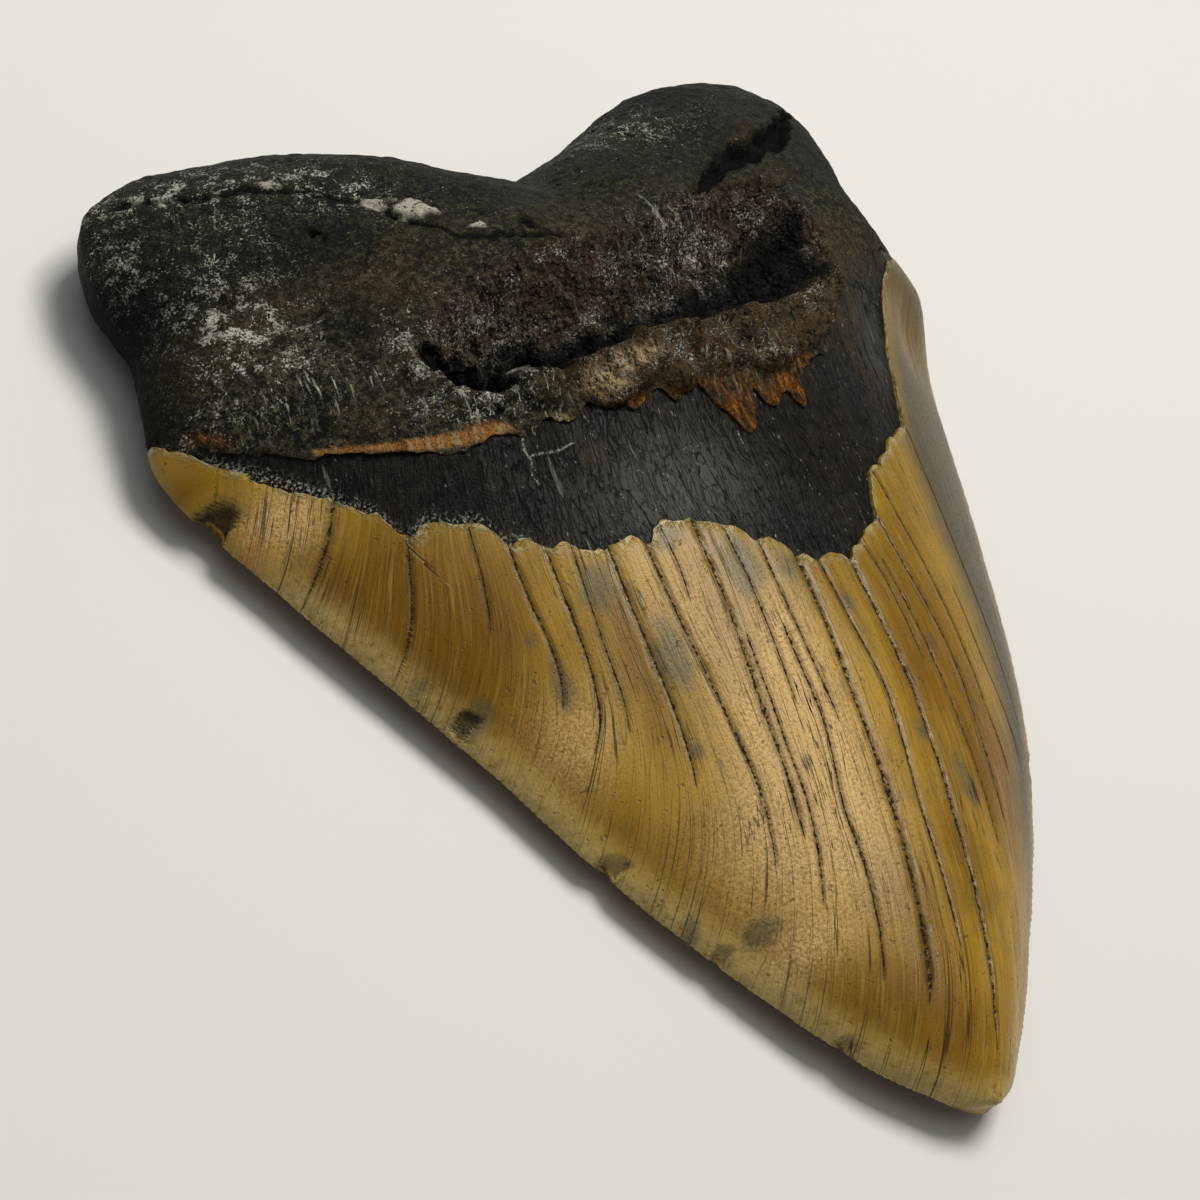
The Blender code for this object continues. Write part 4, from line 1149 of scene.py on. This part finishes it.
def bourlette_material(colours):
    """The bourlette: thin dark dentine like old leather, split by fine fissures along the tooth.

    To the eye: near black brown with a leathery grain, a dull blue-grey painted highlight,
    brown stains painted darker still as shade, and pale scratches and flecks of mineral.
    """
    material, tree, shader, mm = start_material("bourlette_dentine", 0.12, 1.5)
    flow, _, _, _ = field(tree, "flow")
    _, sheen, brown, curl = field(tree, "tint_a")
    _, blended, seam, crumbs = field(tree, "tint_b")

    # Fissures 1 mm apart and some 4 mm long in two sizes, fibres and leathery grain
    in_places = (pattern(tree, flow, 0.8, 2, (1, 0.5, 0)), 0.36, 0.52)
    fissure = product(tree, hairlines(tree, flow, 0.9, 0.15, 0.026, (0, 0, 3)), in_places)
    fine = product(tree, hairlines(tree, flow, 2, 0.17, 0.034, (4, 9, 2)), 0.6)
    fissure = add_node(tree, "Math", (fissure, fine), operation="MAXIMUM")
    fibre = pattern(tree, flow, 2.4, 4, (1, 0.12, 0), (4, 9, 2), 0.65)
    cloud = pattern(tree, mm, 0.16, 4)
    grain = pattern(tree, mm, 2.4, 4, rough=0.7)
    high = add_node(tree, "Math", (grain, fibre), operation="MAXIMUM")
    scratch = product(tree, (pattern(tree, mm, 1, 1, (1, 0.05, 0.3), (5, 0, 0)), 0.72, 0.75, 0, 0.5))
    fleck = product(tree, (pattern(tree, mm, 1.9, 2, (1, 0.45, 1)), 0.68, 0.74))
    marks = add_node(tree, "Math", (scratch, fleck), operation="MAXIMUM")
    seam = product(tree, seam, (grain, 0.42, 0.55, 0, 0.7))
    crumbs = product(tree, crumbs, (grain, 0.5, 0.6, 0, 0.8))
    white = add_node(tree, "Math", (seam, crumbs), operation="MAXIMUM")

    colour = layered(
        tree, colours.band_dark,
        (colours.band_mid, (cloud, 0.36, 0.64)),
        # Painted highlight: the blue-grey shine, which also lightens the grains under it two layers down
        (colours.band_sheen, sheen, 0.95),
        # Brown stains, painted darker still as shade
        (colours.band_brown_and_shade, brown, 0.7),
        (colours.band_sheen, total(tree, (sheen, 0.35), (brown, -0.16), 0.2), (high, 0.5, 0.72)),
        (colours.root_brown, blended, 0.8),
        (colours.groove_dark, fissure, 0.85),
        (colours.lip_brown, curl, (fibre, 0.4, 0.62, 0.1, 0.6)),
        (colours.mineral, marks, 0.35),
        (colours.mineral, white),
    )
    roughness = total(tree, ((grain, 0.3, 0.7, 0.3, 0.48),), (fissure, 0.3), (sheen, -0.06), (brown, 0.25))
    relief = total(tree, (fissure, -0.2), (fibre, 0.12), (grain, 0.14), (crumbs, 0.3))
    finish_surface(tree, shader, colour, roughness, relief)
    return material


def root_material(colours):
    """Fossil root dentine: porous, mineral-stained bone, rubbed smooth only on its heights.

    To the eye: dull greenish black and brown grains, white mineral dust in patches, tan and
    rust where the crust is broken, and painted shade in the groove, the pores, the fissure and the crease.
    """
    material, tree, shader, mm = start_material("root_dentine", 0.07, 1.5)
    _, white, tan, rust = field(tree, "tint_a")
    _, dark, dome, deposit = field(tree, "tint_b")
    _, torn, strip, drips = field(tree, "tint_c")
    _, rolled, blended, crease = field(tree, "tint_d")

    # Clouds of 12 mm, grains of 0.9 and 0.35 mm, fibres along Y, and crystals
    cloud = pattern(tree, mm, 0.09, 5, rough=0.65)
    grain = pattern(tree, mm, 1.1, 4, rough=0.7)
    fine = pattern(tree, mm, 2.8, 3, rough=0.7)
    fibre = pattern(tree, mm, 1.7, 3, (1, 0.22, 0.4), rough=0.65)
    low = add_node(tree, "Math", (grain, fibre), operation="MINIMUM")
    bars = pattern(tree, mm, 1.6, 2, (1, 0.1, 0.2))
    uneven = pattern(tree, mm, 0.3, 3, shift=(6, 1, 0))
    crystals = add_node(tree, "TexVoronoi", {"Vector": mm, "Scale": 1.2}, "Distance")
    between_crystals = product(tree, (crystals, 0.25, 0.6), torn)
    broken_up = add_node(tree, "Math", (torn, rolled), operation="MAXIMUM")

    # Dust: specks where a pattern passes a level that each zone lowers; the runs are drawn out
    patchy = product(tree, (pattern(tree, mm, 0.42, 4, shift=(1, 7, 0), rough=0.7), 0.42, 0.62))
    zone = product(tree, white, total(tree, (patchy, 0.75), 0.15))
    sparse = product(tree, broken_up, (pattern(tree, mm, 0.24, 3, shift=(2, 2, 0)), 0.4, 0.62, 0.05, 0.75))
    zone = add_node(tree, "Math", (zone, sparse), operation="MAXIMUM")
    level = total(tree, (zone, -0.14), (patchy, -0.03), 0.64)
    dust = product(tree, (pattern(tree, mm, 3, 4, rough=0.8), level, total(tree, level, 0.05)))
    runs = pattern(tree, mm, 2, 3, (1, 0.13, 0.3), (0, 4, 0))
    runs = product(tree, (runs, 0.59, 0.66), drips, 0.8)
    dust = add_node(tree, "Math", (dust, runs), operation="MAXIMUM")
    bright = (pattern(tree, mm, 0.6, 2, shift=(9, 0, 0)), 0.3, 0.7, 0.35, 0.95)
    dust = product(tree, dust, total(tree, (bright,), (white, 0.2)), total(tree, (dark, -0.8), 1))

    fringe = layered(tree, colours.root_rust, (colours.root_orange, (fibre, 0.5, 0.66)))
    barred = layered(tree, colours.root_orange, (colours.root_tan, (bars, 0.5, 0.62, 0.1, 0.65)))
    # Painted shade of the crease and the other shaded places, laid again over the dust
    shut = (product(tree, crease, 0.95), product(tree, dark, 0.7))
    colour = layered(
        tree, colours.root_black,
        (colours.root_brown, (cloud, 0.38, 0.6)),
        # Painted reflection and painted shade: the lobes' backs in a darker, cooler grey
        (colours.root_dome_painted_light, dome, 0.8),
        (colours.root_brown, blended, 0.8),
        (colours.lip_brown, rolled, 0.85),
        (colours.torn_brown, torn, (uneven, 0.38, 0.6, 0.3, 1)),
        (colours.torn_light, torn, (fibre, 0.54, 0.66, 0, 0.8)),
        # Fewer light grains on the lobes' backs, part of their painted shade
        (colours.root_grain, total(tree, (dome, -0.5), 1), (grain, 0.44, 0.64, 0, 0.9)),
        (colours.root_tan, tan, (low, 0.38, 0.5, 0.05, 1)),
        (fringe, rust, (fibre, 0.36, 0.5)),
        (barred, strip, (bars, 0.3, 0.42, 0.3, 1)),
        (colours.groove_dark, broken_up, (fibre, 0.36, 0.47, 0.8, 0)),
        (colours.groove_dark, (fine, 0.36, 0.5, 0.75, 0)),
        (colours.groove_dark, between_crystals, 0.4),
        # Painted shade in the groove, pores, fissure, crease and shaded zones
        (colours.groove_dark, dark, 0.8),
        (colours.mineral, dust),
        (colours.groove_dark, add_node(tree, "Math", shut, operation="MAXIMUM")),
        (colours.deposit, deposit, (fine, 0.34, 0.5)),
    )
    roughness = total(tree, ((grain, 0.35, 0.65, 0.46, 0.74),), (dark, 0.2))
    relief = total(
        tree, (grain, total(tree, (broken_up, 0.5), 0.5)), (fine, 0.24),
        (fibre, total(tree, (broken_up, 0.5), 0.15)), (between_crystals, -0.35), (dust, 0.08),
    )
    finish_surface(tree, shader, colour, roughness, relief)
    return material


def floor_material(colours):
    """A painted studio table: matt, pale and even, with a tone that drifts a little."""
    material, tree, shader, mm = start_material("painted_table", 0.3, 1.45)
    shaded = tuple(0.94 * value for value in colours.floor)
    colour = layered(tree, colours.floor, (shaded, (pattern(tree, mm, 0.002, 2), 0.3, 0.7, 0, 0.25)))
    tree.links.new(colour, shader.inputs["Base Color"])
    shader.inputs["Roughness"].default_value = 0.7
    return material


CAMERA_AIM = (-12.0, -0.25, 8.0)  # mm in the frame: the point at the photograph's middle
CAMERA_SWING = 38.0  # degrees towards -X from straight above
CAMERA_TIP = 24.0  # degrees towards -Y
CAMERA_ROLL = 33.5
CAMERA_DISTANCE = 0.400
CAMERA_LENS = 100.0
CAMERA_SENSOR = 36.0
FLOOR_SIZE = 3.0


def aim_camera():
    """The camera looks down the direction that swings and tips from +Z, then rolls about it."""
    swing, tip, roll = (math.radians(angle) for angle in (CAMERA_SWING, CAMERA_TIP, CAMERA_ROLL))
    back = np.array([-math.sin(swing) * math.cos(tip), -math.sin(tip), math.cos(swing) * math.cos(tip)])
    upright = np.array([0.0, 0.0, 1.0]) - back[2] * back
    upright /= np.linalg.norm(upright)
    right = np.cross(upright, back)
    rolled_right = right * math.cos(roll) + upright * math.sin(roll)
    rolled_up = upright * math.cos(roll) - right * math.sin(roll)
    data = bpy.data.cameras.new("camera")
    data.lens = CAMERA_LENS
    data.sensor_width = CAMERA_SENSOR
    camera = bpy.data.objects.new("camera", data)
    bpy.context.scene.collection.objects.link(camera)
    matrix = np.eye(4)
    matrix[:3, 0], matrix[:3, 1], matrix[:3, 2] = rolled_right, rolled_up, back
    matrix[:3, 3] = np.array(CAMERA_AIM) * MM + back * CAMERA_DISTANCE
    camera.matrix_world = [list(map(float, row)) for row in matrix.T]
    bpy.context.scene.camera = camera


def add_light(name, place, aim, size, power, colour):
    """A square soft light that faces a point."""
    data = bpy.data.lights.new(name, "AREA")
    data.shape = "SQUARE"
    data.size = size
    data.energy = power
    data.color = colour
    light = bpy.data.objects.new(name, data)
    bpy.context.scene.collection.objects.link(light)
    light.location = place
    light.rotation_euler = (Vector(place) - Vector(aim)).to_track_quat("Z", "Y").to_euler()


def make_stage(stage, colours):
    """A pale table on the ground plane, one big light overhead, a cool one behind, and fill."""
    half = FLOOR_SIZE / 2
    level = cad_low.z
    mesh = bpy.data.meshes.new("table_top")
    corners = [(-half, -half, level), (half, -half, level), (half, half, level), (-half, half, level)]
    mesh.from_pydata(corners, [], [(0, 1, 2, 3)])
    mesh.materials.append(floor_material(colours))
    floor = bpy.data.objects.new("table_top", mesh)
    bpy.context.scene.collection.objects.link(floor)
    aim = (0.0, 0.0, 0.01)
    add_light("key", (0.18, 0.15, 0.72), aim, 0.34, stage.key_power, (1.0, 0.98, 0.95))
    add_light("overhead", (-0.10, 0.05, 0.90), aim, 0.90, stage.overhead_power, (1.0, 0.985, 0.96))
    add_light("cool_rim", (0.55, 0.50, 0.30), aim, 0.30, stage.rim_power, (0.86, 0.94, 1.0))
    world = bpy.data.worlds.new("studio")
    world.use_nodes = True
    backdrop = world.node_tree.nodes["Background"]
    backdrop.inputs["Color"].default_value = (0.92, 0.95, 1.0, 1.0)
    backdrop.inputs["Strength"].default_value = stage.room_light
    bpy.context.scene.world = world
    bpy.context.scene.view_settings.view_transform = "Standard"
    aim_camera()


def size_setting(name, default, description):
    """A length in metres."""
    return bpy.props.FloatProperty(
        name=name, default=default, description=description, unit="LENGTH", subtype="DISTANCE", precision=5
    )


def colour_setting(name, code, description):
    """A colour from its sRGB hex code."""
    return bpy.props.FloatVectorProperty(
        name=name, default=linear(code), description=description, min=0.0, max=1.0, subtype="COLOR"
    )


def light_setting(name, default, description):
    """A strength that can't be negative."""
    return bpy.props.FloatProperty(name=name, default=default, description=description, min=0.0)


class ToothSizes(bpy.types.PropertyGroup):
    """Sizes of the finish that a user would change."""

    enamel_step: size_setting("Enamel step", 0.0006, "Height of the enamel over the bourlette, mid-tooth")
    labial_step: size_setting("Labial step", 0.0005, "Height of the enamel over the root underneath")
    crack_depth: size_setting("Crack depth", 0.00045, "Depth of a crack 1 mm wide")
    serration: size_setting("Serration", 0.00009, "How far the cutting edge steps out and in")
    lip_height: size_setting("Lip height", 0.0030, "Height of the roll of root before the torn groove")
    root_grain: size_setting("Root grain", 0.00028, "Relief of the root's grain")
    band_fissure: size_setting("Bourlette fissure", 0.00012, "Depth of the bourlette's fissures")


class ToothColours(bpy.types.PropertyGroup):
    """Colours of the tooth and the table."""

    enamel_ochre: colour_setting("Enamel ochre", "#7C5F0C", "Main colour of the enamel")
    enamel_gold: colour_setting("Enamel gold", "#9E7A16", "Warmer clouds in the enamel")
    enamel_pale: colour_setting("Enamel pale", "#B5964A", "Pale streaks along the enamel's fibres")
    # Also painted shade: by the left bevel, low on the right and on the shoulder
    enamel_amber: colour_setting("Enamel amber", "#6F4D03", "Brown stains in the enamel")
    # Painted shade: dark greenish grey standing for the right-hand side turned away from the light
    enamel_limb_painted_shade: colour_setting("Enamel limb", "#37341F", "Greenish grey of the right-hand side")
    # Also a painted highlight down the middle of the crown
    enamel_worn_and_highlight: colour_setting("Enamel worn", "#C5A469", "Light grains of the worn patches")
    enamel_edge: colour_setting("Enamel edge", "#AD9960", "Thin pale cutting edges")
    enamel_orange: colour_setting("Enamel orange", "#B07A35", "Rubbed orange grains by the corner")
    enamel_olive: colour_setting("Enamel olive", "#736120", "Greener clouds in the enamel")
    enamel_crumbs: colour_setting("Enamel crumbs", "#A79C74", "Crumbs along the enamel's broken edge")
    enamel_grey: colour_setting("Enamel grey", "#484839", "Blue-grey mineral blotches")
    chip_brown: colour_setting("Chip brown", "#231A0D", "Broken faces of the edge chips")
    crack_stain: colour_setting("Crack stain", "#46320C", "Brown stain beside the cracks")
    crack_dark: colour_setting("Crack dark", "#120E07", "Inside of the cracks")
    grit: colour_setting("Grit", "#84745A", "Mineral grit in the cracks")
    mineral: colour_setting("Mineral", "#B4B0A2", "White mineral dust")
    deposit: colour_setting("Deposit", "#A6A191", "Thick white deposits")
    band_dark: colour_setting("Bourlette dark", "#0D0A05", "Darkest bourlette")
    band_mid: colour_setting("Bourlette mid", "#1A1208", "Lighter clouds of the bourlette")
    # Painted highlight of the bourlette
    band_sheen: colour_setting("Bourlette sheen", "#42403A", "Blue-grey of the bourlette's shine")
    # Brown stains, and painted shade on the band's right
    band_brown_and_shade: colour_setting("Bourlette brown", "#170F04", "Brown stains of the bourlette")
    root_black: colour_setting("Root black", "#0E0F0B", "Greenish black of the root")
    root_brown: colour_setting("Root brown", "#28210F", "Brown of the lower root")
    # Painted reflection and painted shade of the lobes' backs
    root_dome_painted_light: colour_setting("Root dome", "#101311", "Cooler grey of the lobes' backs")
    root_grain: colour_setting("Root grain", "#4B4433", "Lighter grains of the root")
    root_tan: colour_setting("Root tan", "#9C8862", "Broken and rubbed crust")
    root_rust: colour_setting("Root rust", "#462905", "Rusty fringes and edges")
    root_orange: colour_setting("Root orange", "#875519", "Bright fibres of the fringes")
    lip_brown: colour_setting("Lip brown", "#4A3820", "Crust of the roll before the groove")
    torn_brown: colour_setting("Torn brown", "#3A2A1F", "Purple-brown broken dentine in the groove")
    torn_light: colour_setting("Torn light", "#6B6156", "Pale fibres of the broken dentine")
    # Also painted shade in the groove, the pores, the fissure, the crease and the shaded zones
    groove_dark: colour_setting("Groove dark", "#070605", "Deep pores, cracks and the torn groove")
    floor: colour_setting("Table", "#D2CFC9", "Colour of the table")


class ToothStage(bpy.types.PropertyGroup):
    """Lights of the stage."""

    key_power: light_setting("Key", 5.6, "Power in watts of the soft light above and behind")
    overhead_power: light_setting("Overhead", 2.2, "Power in watts of the wide light straight above")
    rim_power: light_setting("Cool rim", 0.3, "Power in watts of the light behind the root")
    room_light: light_setting("Room light", 0.14, "Strength of the even light all round")


class TOOTH_OT_crown(bpy.types.Operator):
    """Build the enamel crown"""

    bl_idname = "tooth.crown"
    bl_label = "Enamel crown"

    def execute(self, context):
        scene = context.scene
        rings, fields = crown_rings(scene.tooth_sizes)
        material = enamel_material(scene.tooth_colours)
        closed_skin("crown_enamel", rings, CROWN_POLE, CROWN_HEART, fields, material)
        return {"FINISHED"}


class TOOTH_OT_bourlette(bpy.types.Operator):
    """Build the dark band between crown and root"""

    bl_idname = "tooth.bourlette"
    bl_label = "Bourlette"

    def execute(self, context):
        scene = context.scene
        rings, fields = band_rings(scene.tooth_sizes)
        ends = rings[0].mean(axis=0), rings[-1].mean(axis=0)
        material = bourlette_material(scene.tooth_colours)
        closed_skin("bourlette", rings, *ends, fields, material)
        return {"FINISHED"}


class TOOTH_OT_root(bpy.types.Operator):
    """Build the root with its torn groove"""

    bl_idname = "tooth.root"
    bl_label = "Root"

    def execute(self, context):
        scene = context.scene
        rings, fields = root_rings(scene.tooth_sizes)
        material = root_material(scene.tooth_colours)
        closed_skin("root_dentine", rings, ROOT_HEART, rings[-1].mean(axis=0), fields, material)
        return {"FINISHED"}


class TOOTH_OT_stage(bpy.types.Operator):
    """Build the table, the lights and the camera"""

    bl_idname = "tooth.stage"
    bl_label = "Stage"

    def execute(self, context):
        make_stage(context.scene.tooth_stage, context.scene.tooth_colours)
        return {"FINISHED"}


OPERATORS = (TOOTH_OT_crown, TOOTH_OT_bourlette, TOOTH_OT_root, TOOTH_OT_stage)


class TOOTH_PT_panel(bpy.types.Panel):
    """Sizes, colours and the steps that build the tooth"""

    bl_idname = "TOOTH_PT_panel"
    bl_label = "Megalodon tooth"
    bl_space_type = "VIEW_3D"
    bl_region_type = "UI"
    bl_category = "Tooth"

    def draw(self, context):
        for operator in OPERATORS:
            self.layout.operator(operator.bl_idname)
        for group in (context.scene.tooth_sizes, context.scene.tooth_colours, context.scene.tooth_stage):
            box = self.layout.box()
            for key in group.bl_rna.properties.keys():
                if key not in ("rna_type", "name"):
                    box.prop(group, key)


CLASSES = (ToothSizes, ToothColours, ToothStage, *OPERATORS, TOOTH_PT_panel)


def register():
    for item in CLASSES:
        bpy.utils.register_class(item)
    bpy.types.Scene.tooth_sizes = bpy.props.PointerProperty(type=ToothSizes)
    bpy.types.Scene.tooth_colours = bpy.props.PointerProperty(type=ToothColours)
    bpy.types.Scene.tooth_stage = bpy.props.PointerProperty(type=ToothStage)


def unregister():
    del bpy.types.Scene.tooth_stage
    del bpy.types.Scene.tooth_colours
    del bpy.types.Scene.tooth_sizes
    for item in reversed(CLASSES):
        bpy.utils.unregister_class(item)


def main():
    register()
    bpy.ops.tooth.crown()
    bpy.ops.tooth.bourlette()
    bpy.ops.tooth.root()
    bpy.ops.tooth.stage()


if __name__ == "__main__":
    main()
